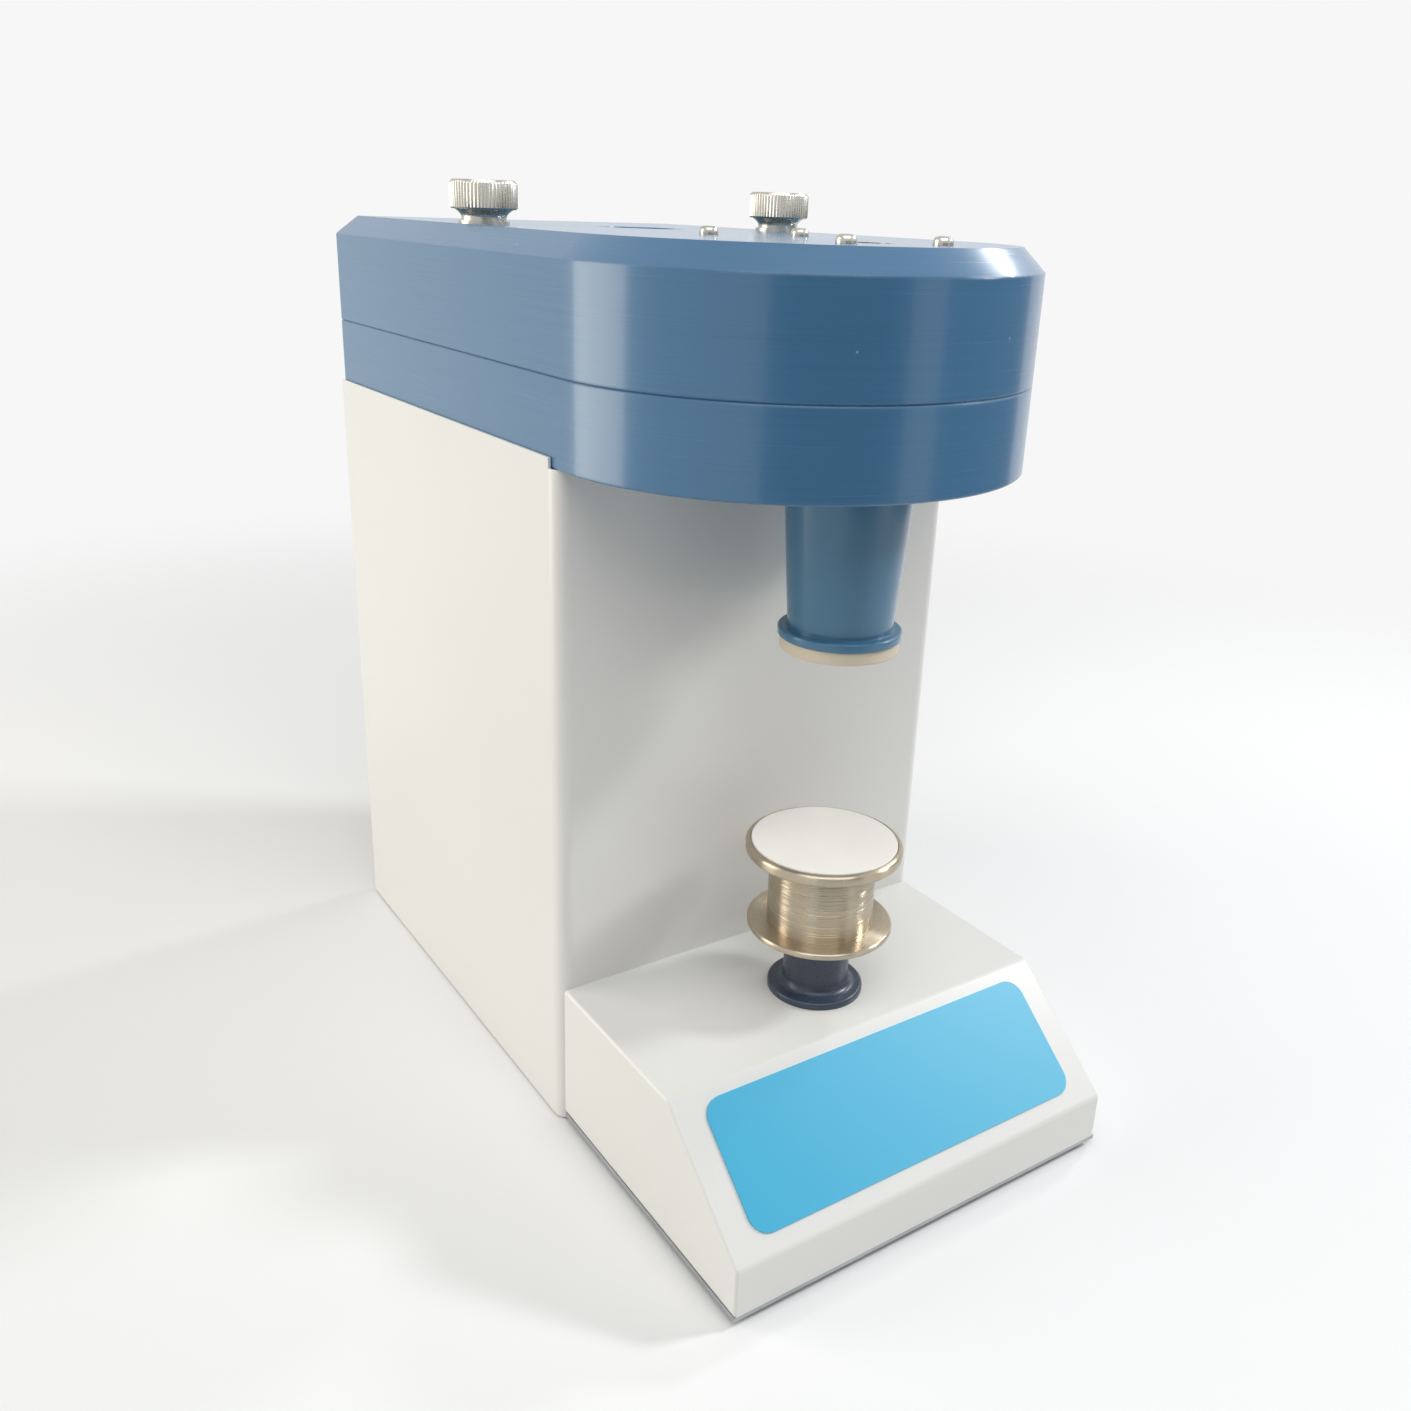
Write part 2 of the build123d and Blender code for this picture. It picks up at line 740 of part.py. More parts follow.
def make_sieve_ring():
    """Thin slotted ring that stands on the grinding ring."""
    outer = sieve_inner + sieve_wall
    body = ring(outer, sieve_inner, grinding_top, sieve_top, 0, chamber_y)
    slot = block((sieve_inner - sieve_wall, outer + sieve_wall), span(0, sieve_slot),
                 (grinding_top + sieve_band, sieve_top - sieve_band))
    for step in range(sieve_slot_count):
        body -= Pos(0, chamber_y, 0) * Rot(0, 0, 360 * step / sieve_slot_count) * slot
    return body


def make_impeller():
    """Disc with a hub and straight blades."""
    disc_top = impeller_bottom + impeller_disc
    body = rod(impeller_radius, impeller_bottom, disc_top, 0, chamber_y)
    body += rod(impeller_hub, impeller_bottom, impeller_top, 0, chamber_y)
    blade = block((impeller_hub + blade_root_gap, impeller_radius), span(0, blade_thickness),
                  (disc_top, sieve_top - blade_drop))
    for step in range(blade_count):
        body += Pos(0, chamber_y, 0) * Rot(0, 0, 360 * step / blade_count) * blade
    return body - rod(shaft_radius + close_fit, impeller_bottom, impeller_top, 0, chamber_y)


def make_impeller_nut():
    """Hexagon nut that clamps the impeller on the shaft."""
    high = impeller_top + rotor_nut_height
    hexagon = RegularPolygon(rotor_nut_radius, 6)
    body = extrude(Pos(0, chamber_y, impeller_top) * hexagon, rotor_nut_height)
    body = chamfer(edges_at_height(body, high), small_edge)
    return body - rod(shaft_radius + close_fit, impeller_top, high, 0, chamber_y)


def make_cyclone_cone():
    """Turned cone with a rim inside the head and a flange at its foot."""
    inner_top = cone_top_radius - cone_wall
    flange_top = cone_bottom + cone_flange
    body = turned([(cone_outlet, cone_bottom), (cone_flange_radius, cone_bottom),
                   (cone_flange_radius, flange_top), (cone_foot_radius, flange_top),
                   (cone_top_radius, head_bottom), (cone_top_radius, barrel_bottom),
                   (cone_rim_radius, barrel_bottom), (cone_rim_radius, barrel_bottom + cone_rim),
                   (inner_top + cone_wall, barrel_bottom + cone_rim), (inner_top, head_bottom),
                   (cone_outlet, flange_top + cone_wall)], 0, cyclone_y)
    flange_edges = [e for e in body.edges().filter_by(GeomType.CIRCLE)
                    if abs(e.radius - cone_flange_radius) < 0.01]
    body = fillet(flange_edges, cone_edge)
    for x, y in cyclone_screw_places:
        body -= rod(m3_pan[2] + running_fit, barrel_bottom, barrel_bottom + cone_rim, x, y)
    return body


def make_cyclone_screws():
    """Screws that hold the cone's rim down on the casting's floor."""
    screw = pan_screw(m3_pan, cone_rim + cyclone_screw_bite)
    return group([Pos(x, y, barrel_bottom + cone_rim) * screw for x, y in cyclone_screw_places])


def make_cyclone_gasket():
    """Soft ring that the sample bottle is pressed against."""
    body = ring(gasket_radius, cone_outlet, gasket_bottom, cone_bottom, 0, cyclone_y)
    outer = [e for e in edges_at_height(body, gasket_bottom) if e.radius > cone_outlet + gasket_edge]
    return fillet(outer, gasket_edge)


def make_upper_cover():
    """Upper casting: hollow cover with a chamfered top and bosses inside."""
    body = head_block(0, parting, head_top)
    body = chamfer(edges_at_height(body, head_top), head_chamfer)
    body = soften_rear(body)
    body = chamfer(edges_at_height(body, parting), parting_chamfer)
    inner_top = head_top - cover_top_wall
    body -= head_block(head_wall, parting, inner_top)
    body += rod(chamber_radius + chamber_wall, parting, inner_top, 0, chamber_y)
    body -= rod(chamber_radius, parting, inner_top, 0, chamber_y)
    chamber_hole_top = chamber_screw_seat + chamber_screw_length + blind_depth
    for x, y in chamber_screw_places:
        body += rod(cover_boss, chamber_plate_roof, inner_top, x, y)
        body -= rod(m4_pan[2] + close_fit, chamber_plate_roof, chamber_hole_top, x, y)
    for x, y in cover_screw_places:
        body += rod(cover_boss, duct_plate_top, inner_top, x, y)
        body -= rod(m4_cap[2] + running_fit, parting, head_top, x, y)
    for side in (-1, 1):
        body += rod(thumb_boss, parting, inner_top, side * thumb_x, chamber_y)
        body -= rod(thumb_shank + gap, parting, head_top, side * thumb_x, chamber_y)
    for x, y in pin_places:
        body += rod(bolt_boss, parting, inner_top, x, y)
        body -= rod(m6_pan[2] + gap, parting, parting + pin_rise + blind_depth, x, y)
    body -= rod(feed_bore + feed_wall + gap, inner_top, head_top, 0, chamber_y)
    body -= rod(feed_rim + gap, head_top - feed_rim_height, head_top, 0, chamber_y)
    body -= rod(vortex_radius + gap, inner_top, head_top, 0, cyclone_y)
    return body


def make_duct_plate():
    """Plate inside the cover that closes the channel and the barrel from above."""
    body = rod(duct_plate_radius, parting, duct_plate_top, 0, nose_centre_y)
    body -= rod(chamber_radius + chamber_wall + gap, parting, duct_plate_top, 0, chamber_y)
    for x, y in pin_places:
        body -= rod(bolt_boss + small_edge, parting, duct_plate_top, x, y)
    body -= rod(vortex_radius + gap, parting, duct_plate_top, 0, cyclone_y)
    for x, y in cover_screw_places:
        body -= rod(m4_cap[2] + close_fit, parting, duct_plate_top, x, y)
    return body


def make_cover_screws():
    """Cap screws on the cover's top that reach down to the duct plate."""
    screw = cap_screw(m4_cap, head_top - parting)
    return group([Pos(x, y, head_top) * screw for x, y in cover_screw_places])


def make_chamber_plate():
    """Disc that roofs the grinding chamber."""
    body = ring(chamber_radius - gap, feed_bore + feed_wall + close_fit,
                chamber_plate_height, chamber_plate_roof, 0, chamber_y)
    for x, y in chamber_screw_places:
        body -= rod(m4_pan[2] + running_fit, chamber_plate_height, chamber_plate_roof, x, y)
        body -= rod(m4_pan[0] + gap, chamber_plate_height, chamber_screw_seat, x, y)
    return body


def make_chamber_plate_screws():
    """Screws sunk in the chamber's roof."""
    screw = Rot(180, 0, 0) * pan_screw(m4_pan, chamber_screw_length)
    return group([Pos(x, y, chamber_screw_seat) * screw for x, y in chamber_screw_places])


def make_feed_tube():
    """Feed tube with a flush rim on the cover's top."""
    outer = feed_bore + feed_wall
    rim_low = head_top - feed_rim_height
    return turned([(feed_bore, chamber_plate_height), (outer, chamber_plate_height), (outer, rim_low),
                   (feed_rim, rim_low), (feed_rim, head_top), (feed_bore + feed_flare, head_top),
                   (feed_bore, head_top - feed_flare_depth)], 0, chamber_y)


def make_vortex_tube():
    """Air outlet tube down the middle of the cyclone, with a flange on the duct plate."""
    inner = vortex_radius - vortex_wall
    flange_top = duct_plate_top + vortex_flange_thickness
    return turned([(inner, vortex_bottom), (vortex_radius, vortex_bottom), (vortex_radius, duct_plate_top),
                   (vortex_flange, duct_plate_top), (vortex_flange, flange_top), (vortex_radius, flange_top),
                   (vortex_radius, head_top), (inner, head_top)], 0, cyclone_y)


def make_thumb_screw(side):
    """Knurled screw with a narrow neck, a flared foot and a plain shank."""
    x = side * thumb_x
    top = head_top + thumb_height
    knurl_low = top - thumb_knurl_height
    foot_top = head_top + thumb_foot_height
    neck_top = (foot_top + knurl_low) / 2
    flare = (thumb_radius - thumb_neck) / 3
    profile = [(0, head_top), (thumb_foot, head_top), (thumb_foot, foot_top), (thumb_neck, foot_top),
               (thumb_neck, neck_top), (thumb_neck + flare / 2, knurl_low - flare / 2),
               (thumb_radius - flare, knurl_low), (thumb_radius, knurl_low + small_edge),
               (thumb_radius, top - small_edge), (thumb_radius - small_edge, top), (0, top)]
    head = turned(profile, x, chamber_y)
    teeth = saw_edge(thumb_radius, thumb_radius - knurl_depth, knurl_count)
    head &= extrude(Pos(x, chamber_y, head_top) * teeth, thumb_height)
    return head + rod(thumb_shank, parting - thumb_depth + blind_depth, head_top, x, chamber_y)


def make_sample_tray():
    """Turned spool, hollow from below, that presses the bottle up."""
    low = tray_bottom + tray_flange
    rim_low = tray_rim_top - rim_height
    body = turned([(bush_radius + gap, tray_bottom), (tray_flange_radius, tray_bottom),
                   (tray_flange_radius, low), (waist_radius, low), (waist_radius, rim_low),
                   (rim_radius, rim_low), (rim_radius, tray_rim_top), (pad_radius + gap, tray_rim_top),
                   (pad_radius + gap, pad_seat), (stem_spigot, pad_seat), (stem_spigot, tray_ceiling),
                   (bush_radius + gap, tray_ceiling)], 0, cyclone_y)
    outer = [e for e in edges_at_height(body, tray_bottom) + edges_at_height(body, low)
             if abs(e.radius - tray_flange_radius) < 0.01]
    outer += [e for e in body.edges().filter_by(GeomType.CIRCLE) if abs(e.radius - rim_radius) < 0.01]
    return fillet(outer, tray_edge)


def make_tray_pad():
    """Soft disc let into the tray's rim."""
    body = rod(pad_radius, pad_seat, tray_top, 0, cyclone_y)
    return fillet(edges_at_height(body, tray_top), pad_edge)


def make_tray_stem():
    """Stem under the tray, guided by the bush, with a groove for its clip."""
    groove_low = stem_clip_top - clip_thickness
    groove_radius = stem_radius - stem_groove
    bottom = groove_low - stem_tail
    spigot = stem_spigot - close_fit
    return turned([(0, bottom), (stem_radius - small_edge, bottom), (stem_radius, bottom + small_edge),
                   (stem_radius, groove_low), (groove_radius, groove_low), (groove_radius, stem_clip_top),
                   (stem_radius, stem_clip_top), (stem_radius, tray_ceiling), (spigot, tray_ceiling),
                   (spigot, pad_seat), (0, pad_seat)], 0, cyclone_y)


def make_stem_clip():
    """Retaining clip under the bush's nut that stops the tray at its top."""
    low = stem_clip_top - clip_thickness
    body = ring(clip_radius, stem_radius - stem_groove + close_fit, low, stem_clip_top, 0, cyclone_y)
    mouth = (cyclone_y - clip_radius, cyclone_y)
    return body - block(span(0, clip_mouth), mouth, (low, stem_clip_top))


def make_guide_bush():
    """Black bush: round flange on the base, guide for the stem and a threaded tail below."""
    flange_top = base_top + bush_flange
    pocket = spring_radius + spring_wire + spring_gap
    bore = stem_radius + running_fit
    profile = [(bore, stem_clip_top), (bush_tail_radius, stem_clip_top), (bush_tail_radius, base_top),
               (bush_flange_radius, base_top), (bush_flange_radius, flange_top), (bush_radius, flange_top),
               (bush_radius, bush_top), (pocket, bush_top), (pocket, spring_seat), (bore, spring_seat)]
    body = turned(profile, 0, cyclone_y)
    root = [e for e in edges_at_height(body, flange_top) if abs(e.radius - bush_radius) < 0.01]
    body = fillet(root, bush_fillet)
    rim = [e for e in edges_at_height(body, flange_top) if abs(e.radius - bush_flange_radius) < 0.01]
    return fillet(rim, bush_flange_edge)


def make_bush_nut():
    """Thin hexagon nut on the bush's tail, inside the base."""
    body = extrude(Pos(0, cyclone_y, stem_clip_top) * RegularPolygon(bush_nut_radius, 6), bush_nut_height)
    return body - rod(bush_tail_radius + close_fit, stem_clip_top, bush_nut_top, 0, cyclone_y)


def make_tray_spring():
    """Compression spring round the stem, between the bush and the tray."""
    low = spring_seat + spring_wire
    high = tray_ceiling - spring_wire
    path = Pos(0, cyclone_y, low) * Helix((high - low) / spring_turns, high - low, spring_radius)
    section = Plane(origin=path @ 0, z_dir=path % 0) * Circle(spring_wire)
    return sweep(section, path, is_frenet=True)


def make_motor_housing():
    """Ribbed motor body between its two end brackets."""
    body = ring(motor_radius, motor_radius - motor_wall, motor_bottom, motor_top, 0, chamber_y)
    for row in range(motor_groove_count):
        low = motor_bottom + motor_groove_start + row * motor_groove_pitch
        body -= ring(motor_radius, motor_radius - motor_groove_depth, low, low + motor_groove, 0, chamber_y)
    return body


def make_motor_upper_bracket():
    """Upper end bracket with the bearing's pocket on its underside."""
    hub_bottom = motor_top - hub_drop
    body = rod(bracket_radius, motor_top, head_bottom, 0, chamber_y)
    body += rod(bearing_hub, hub_bottom, motor_top, 0, chamber_y)
    body -= rod(bearing_radius + close_fit, hub_bottom, hub_bottom + bearing_height, 0, chamber_y)
    body -= rod(shaft_body_radius, hub_bottom, head_bottom, 0, chamber_y)
    for x, y in motor_bolt_places:
        body -= rod(m5_pan[2] + running_fit, motor_top, head_bottom, x, y)
    return body


def make_motor_lower_bracket():
    """Lower end bracket with the bearing's pocket on its upper side and air holes."""
    hub_top = motor_bottom + hub_drop
    body = rod(bracket_radius, bracket_bottom, motor_bottom, 0, chamber_y)
    body += rod(bearing_hub, motor_bottom, hub_top, 0, chamber_y)
    body -= rod(bearing_radius + close_fit, hub_top - bearing_height, hub_top, 0, chamber_y)
    body -= rod(shaft_radius + gap, bracket_bottom, hub_top, 0, chamber_y)
    for x, y in around((0, chamber_y), air_hole_circle, air_hole_count):
        body -= rod(air_hole_radius, bracket_bottom, motor_bottom, x, y)
    for x, y in motor_bolt_places:
        body -= rod(m5_pan[2] + running_fit, bracket_bottom, motor_bottom, x, y)
    return body


def make_motor_bolts():
    """Long through bolts that hang the motor under the head."""
    bolt = Rot(180, 0, 0) * pan_screw(m5_pan, head_bottom - bracket_bottom + motor_bolt_bite)
    return group([Pos(x, y, bracket_bottom) * bolt for x, y in motor_bolt_places])


def make_bearing(low):
    """Sealed ball bearing with its seal faces drawn in."""
    body = ring(bearing_radius, shaft_radius + close_fit, low, low + bearing_height, 0, chamber_y)
    outer = bearing_radius - bearing_seal_inset
    inner = shaft_radius + bearing_seal_inset
    for face in (low, low + bearing_height - bearing_seal_depth):
        body -= ring(outer, inner, face, face + bearing_seal_depth, 0, chamber_y)
    return body


def make_stator_core():
    """Laminated stator with slots to the bore."""
    body = ring(stator_outer - close_fit, stator_bore, stator_bottom, stator_top, 0, chamber_y)
    slot = block((stator_bore - small_edge, stator_bore + stator_slot), span(0, stator_slot),
                 (stator_bottom, stator_top))
    for step in range(stator_slot_count):
        body -= Pos(0, chamber_y, 0) * Rot(0, 0, 360 * step / stator_slot_count) * slot
    return body


def make_stator_windings():
    """Two rounded winding heads, above and below the stator."""
    heads = []
    outer = stator_outer - winding_gap
    inner = stator_bore + stator_slot
    for low in (stator_bottom - winding_height, stator_top):
        head = ring(outer, inner, low, low + winding_height, 0, chamber_y)
        heads.append(fillet(head.edges().filter_by(GeomType.CIRCLE), winding_edge))
    return group(heads)


def make_motor_shaft():
    """Stepped shaft from the lower bearing up to the impeller."""
    shoulder_low = motor_bottom + hub_drop + gap
    shoulder_high = motor_top - hub_drop - gap
    bottom = motor_bottom - lower_bracket / 2
    return turned([(0, bottom), (shaft_radius, bottom), (shaft_radius, shoulder_low),
                   (shaft_body_radius, shoulder_low), (shaft_body_radius, shoulder_high),
                   (shaft_radius, shoulder_high), (shaft_radius, shaft_top - small_edge),
                   (shaft_radius - small_edge, shaft_top), (0, shaft_top)], 0, chamber_y)


def make_rotor_core():
    """Laminated armature on the shaft."""
    return ring(stator_bore - air_gap, shaft_body_radius + close_fit, stator_bottom, stator_top, 0, chamber_y)


def make_cooling_fan():
    """Moulded fan on the shaft, below the armature."""
    bore = shaft_body_radius + close_fit
    fan_top = fan_bottom + fan_height
    body = ring(fan_hub, bore, fan_bottom, fan_top, 0, chamber_y)
    body += ring(fan_radius, bore, fan_bottom, fan_bottom + fan_disc, 0, chamber_y)
    blade = block((fan_hub - fan_disc, fan_radius), span(0, fan_disc), (fan_bottom, fan_top))
    for step in range(fan_blades):
        body += Pos(0, chamber_y, 0) * Rot(0, 0, 360 * step / fan_blades) * blade
    return body


def make_motor_capacitor():
    """Upright start capacitor with two tags."""
    top = plate_top + capacitor_height
    body = turned([(0, plate_top), (capacitor_radius, plate_top), (capacitor_radius, top - capacitor_edge),
                   (capacitor_radius - capacitor_edge, top), (0, top)], capacitor_x, capacitor_y)
    for side in (-1, 1):
        body += Pos(capacitor_x + side * tag_pitch / 2, capacitor_y, top) * Box(*tag_size, align=FOOT)
    return body


def make_capacitor_clip():
    """Sprung band round the capacitor, with a foot on the floor plate."""
    inner = capacitor_radius + close_fit
    outer = inner + clip_band
    top = plate_top + clip_height
    body = ring(outer, inner, plate_top, top, capacitor_x, capacitor_y)
    body -= block(span(capacitor_x, clip_split), (capacitor_y - outer, capacitor_y), (plate_top, top))
    foot_width, foot_reach = clip_foot
    foot_length = (capacitor_y + inner, capacitor_y + outer + foot_reach)
    return body + block(span(capacitor_x, foot_width), foot_length, (plate_top, plate_top + clip_band))


def make_power_inlet():
    """Flanged mains inlet with a recess and three flat pins."""
    low_y = cabinet_depth - inlet_depth
    face = cabinet_depth + fitting_flange
    body = block(span(inlet_x, inlet_width), (low_y, cabinet_depth), span(inlet_z, inlet_height))
    flange = block(span(inlet_x, inlet_flange_width), (cabinet_depth, face),
                   span(inlet_z, inlet_height + 2 * inlet_flange_edge))
    body += fillet(flange.edges().filter_by(Axis.Y), fitting_corner)
    body -= block(span(inlet_x, inlet_width - 2 * inlet_wall), (low_y + inlet_floor, face),
                  span(inlet_z, inlet_height - 2 * inlet_wall))
    pin_width, pin_height = inlet_pin
    pin_length = (low_y, cabinet_depth - inlet_pin_sink)
    for across, up in inlet_pins:
        body += block(span(inlet_x + across, pin_width), pin_length, span(inlet_z + up, pin_height))
    return body


def make_switch_frame():
    """Snap-in frame of the mains switch, open to the rear."""
    low_y = cabinet_depth - switch_depth
    face = cabinet_depth + fitting_flange
    body = block(span(inlet_x, switch_width), (low_y, cabinet_depth), span(switch_z, switch_height))
    lip = block(span(inlet_x, switch_width + 2 * switch_lip), (cabinet_depth, face),
                span(switch_z, switch_height + 2 * switch_lip))
    body += fillet(lip.edges().filter_by(Axis.Y), fitting_corner)
    body -= block(span(inlet_x, rocker_width + 2 * gap), (low_y + switch_floor, face),
                  span(switch_z, rocker_height + 2 * rocker_end_gap))
    pin_hole = Pos(inlet_x, cabinet_depth - rocker_depth, switch_z) * Rot(0, 90, 0)
    return body - pin_hole * Cylinder(rocker_pin + running_fit, rocker_width + 2 * rocker_pin_reach + gap)


def make_switch_rocker():
    """Rocker with two sloping faces, tilted to its off side."""
    half = rocker_height / 2
    front = rocker_depth + fitting_flange - rocker_sink
    outline = Polyline((0, -rocker_root, -half), (0, front, -half), (0, front - rocker_dip, 0),
                       (0, front, half), (0, -rocker_root, half), close=True)
    body = extrude(Pos(-rocker_width / 2, 0, 0) * make_face(outline), rocker_width, dir=(1, 0, 0))
    body += Rot(0, 90, 0) * Cylinder(rocker_pin, rocker_width + 2 * rocker_pin_reach)
    return Pos(inlet_x, cabinet_depth - rocker_depth, switch_z) * Rot(rocker_tilt, 0, 0) * body


nodes = {
    "bottom_plate": make_bottom_plate(),
    "rubber_feet": make_feet(),
    "plate_screws": make_plate_screws(),
    "cabinet_shell": make_cabinet_shell(),
    "side_rails": make_side_rails(),
    "deck_plate": make_deck_plate(),
    "back_panel": make_back_panel(),
    "back_panel_screws": make_back_panel_screws(),
    "base_shell": make_base_shell(),
    "name_plate": make_name_plate(),
    "lower_housing": make_lower_housing(),
    "head_bolts": make_head_bolts(),
    "locating_pins": make_locating_pins(),
    "chamber_seal": make_chamber_seal(),
    "shaft_seal": make_shaft_seal(),
    "grinding_ring": make_grinding_ring(),
    "sieve_ring": make_sieve_ring(),
    "cyclone_cone": make_cyclone_cone(),
    "cyclone_screws": make_cyclone_screws(),
    "cyclone_gasket": make_cyclone_gasket(),
    "guide_bush": make_guide_bush(),
    "bush_nut": make_bush_nut(),
    "motor_housing": make_motor_housing(),
    "motor_upper_bracket": make_motor_upper_bracket(),
    "motor_lower_bracket": make_motor_lower_bracket(),
    "motor_bolts": make_motor_bolts(),
    "upper_bearing": make_bearing(motor_top - hub_drop),
    "lower_bearing": make_bearing(motor_bottom + hub_drop - bearing_height),
    "stator_core": make_stator_core(),
    "stator_windings": make_stator_windings(),
    "motor_capacitor": make_motor_capacitor(),
    "capacitor_clip": make_capacitor_clip(),
    "power_inlet": make_power_inlet(),
    "switch_frame": make_switch_frame(),
    "motor_shaft": make_motor_shaft(),
    "rotor_core": make_rotor_core(),
    "cooling_fan": make_cooling_fan(),
    "impeller": make_impeller(),
    "impeller_nut": make_impeller_nut(),
    "upper_cover": make_upper_cover(),
    "duct_plate": make_duct_plate(),
    "cover_screws": make_cover_screws(),
    "chamber_plate": make_chamber_plate(),
    "chamber_plate_screws": make_chamber_plate_screws(),
    "feed_tube": make_feed_tube(),
    "vortex_tube": make_vortex_tube(),
    "thumb_screw_left": make_thumb_screw(-1),
    "thumb_screw_right": make_thumb_screw(1),
    "sample_tray": make_sample_tray(),
    "tray_pad": make_tray_pad(),
    "tray_stem": make_tray_stem(),
    "stem_clip": make_stem_clip(),
    "tray_spring": make_tray_spring(),
    "switch_rocker": make_switch_rocker(),
}

to_middle = Pos(0, -middle_y, 0)
os.makedirs("parts", exist_ok=True)
for name, piece in nodes.items():
    export_step(to_middle * piece, f"parts/{name}.step")
print("middle of the machine lies at Y", middle_y, "behind the cabinet's front face")
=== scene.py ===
# Cyclone sample mill, dressed for a product picture.
# Metres, in the frame of the solids: Z up, the cyclone towards -Y.
import json
import math
import random

import bmesh
import bpy
from mathutils import Matrix, Vector


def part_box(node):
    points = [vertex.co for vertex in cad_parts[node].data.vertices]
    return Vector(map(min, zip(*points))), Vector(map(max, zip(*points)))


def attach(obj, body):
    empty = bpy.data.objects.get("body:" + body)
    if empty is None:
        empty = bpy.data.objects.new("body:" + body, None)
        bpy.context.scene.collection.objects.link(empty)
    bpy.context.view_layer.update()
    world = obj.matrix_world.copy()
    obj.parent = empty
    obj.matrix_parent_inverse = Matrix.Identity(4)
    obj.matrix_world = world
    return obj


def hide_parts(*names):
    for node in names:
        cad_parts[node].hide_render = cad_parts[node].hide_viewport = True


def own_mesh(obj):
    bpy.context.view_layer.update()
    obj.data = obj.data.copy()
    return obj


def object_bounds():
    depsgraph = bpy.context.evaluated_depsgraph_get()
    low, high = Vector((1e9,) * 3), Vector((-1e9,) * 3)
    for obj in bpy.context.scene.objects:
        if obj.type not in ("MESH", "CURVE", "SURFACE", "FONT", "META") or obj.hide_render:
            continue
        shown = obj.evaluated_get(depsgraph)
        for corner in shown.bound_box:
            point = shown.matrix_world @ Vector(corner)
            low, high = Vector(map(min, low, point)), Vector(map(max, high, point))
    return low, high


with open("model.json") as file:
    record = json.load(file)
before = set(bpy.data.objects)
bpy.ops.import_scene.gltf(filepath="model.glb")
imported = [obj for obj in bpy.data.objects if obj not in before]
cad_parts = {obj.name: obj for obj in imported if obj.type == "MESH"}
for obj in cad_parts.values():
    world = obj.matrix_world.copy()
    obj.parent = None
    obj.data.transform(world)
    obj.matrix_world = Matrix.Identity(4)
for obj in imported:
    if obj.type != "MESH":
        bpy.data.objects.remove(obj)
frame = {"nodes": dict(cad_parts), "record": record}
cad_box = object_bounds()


# Camera: lengths in pixels of the photograph, place in metres, angles in degrees
PHOTO_SIDE = 1411
FOCAL_PIXELS = 1285.36
AXIS_PIXEL = (713.16, 687.44)
CAMERA_PLACE = Vector((-0.33177, -0.50931, 0.41115))
CAMERA_YAW = 34.112
CAMERA_PITCH = 20.538
CAMERA_ROLL = 2.078
SENSOR = 36.0  # mm

# Turned pieces, in mm and degrees unless a line says otherwise
MM = 1000  # in a metre
SKIN = 0.02
SHARP_ANGLE = 32.0
BEND_STEPS = 5
WELD = 1e-7  # metres
TOOTH_SHAPE = 0.7  # power that rounds the valleys between teeth

# Spool
SPOOL_STEPS = 160
SPOOL_BORE = 15.3
SPOOL_LIP = 33.0
SPOOL_EDGE = 1.0
SPOOL_ROUND = 1.6
SPOOL_FLANGE = 3.0
SPOOL_RIM = 5.0
SPOOL_WAIST = 24.0
SPOOL_POCKET = 33.0
SPOOL_SEAT = 2.4
SPOOL_SPIGOT = 6.0
SPOOL_CEILING = 8.4

# Tool marks on the spool's waist
MARK_SEED = 7
MARK_PITCH = 0.6
MARK_PITCH_SPREAD = (0.6, 1.5)  # shares of the pitch
MARK_DEPTH = 0.12
MARK_DEPTH_SPREAD = (0.2, 1.0)  # shares of the depth
MARK_FLAT = 0.6  # share of a mark that is level
MARK_FLOOR = 0.8  # share at which a mark is deepest

# Knurled screws
THUMB_RADIUS = 15.0
THUMB_KNURL = 12.2
THUMB_NECK = 10.0
THUMB_NECK_STEPS = 8
THUMB_NECK_STRAIGHT = 0.35  # share of the neck below its flare
THUMB_FLARE = 6.0
THUMB_FLARE_SHAPE = 1.6  # power of the flare's curve
THUMB_FOOT = 11.3
THUMB_FOOT_HEIGHT = 1.4
THUMB_SHANK = 4.0
THUMB_TEETH = 60
THUMB_TOOTH = 0.4
THUMB_TOOTH_STEPS = 6
THUMB_UNDER = ((0.9, 0.0), (0.0, 0.7))  # inset, height over the knurl's lower edge
THUMB_CROWN = ((0.0, 1.5), (0.5, 1.0), (0.7, 0.5), (1.1, 0.0), (3.0, 0.0), (3.3, 0.3))  # inset, drop

# Button-head screws
BUTTON_STEPS = 48
BUTTON_LIP = 0.5
BUTTON_HEIGHT = 3.3
BUTTON_CROWN = 2.4
BUTTON_CROWN_STEPS = 6
BUTTON_SOCKET = 1.9
BUTTON_SOCKET_EDGE = 0.3
BUTTON_SOCKET_DEPTH = 1.6
BUTTON_UNDER = 3.0  # depth under the cover's top where only the shank is left

# Enamel, in metres. Stretches are texture scales along X, Y and Z
EDGE_SOFTNESS = 0.0015
STROKE_STRETCH = (9.0, 9.0, 1500.0)
STROKE_SHADE = 0.055
STREAK_STRETCH = (4.0, 4.0, 160.0)
STREAK_SHADE = 1.05
SPECK_CELLS = 230.0
SPECK_CHANCE = 0.992  # share of the cells that have no speck
SPECK_SIZE = 0.12
ENAMEL_ROUGHNESS = 0.25
FEED_RIM = 0.0142  # radius beyond which the feed tube is painted

# Metal: lengths in metres
RING_PITCH = 0.0006
RING_DEPTH = 0.00002
LEAF = 0.0005

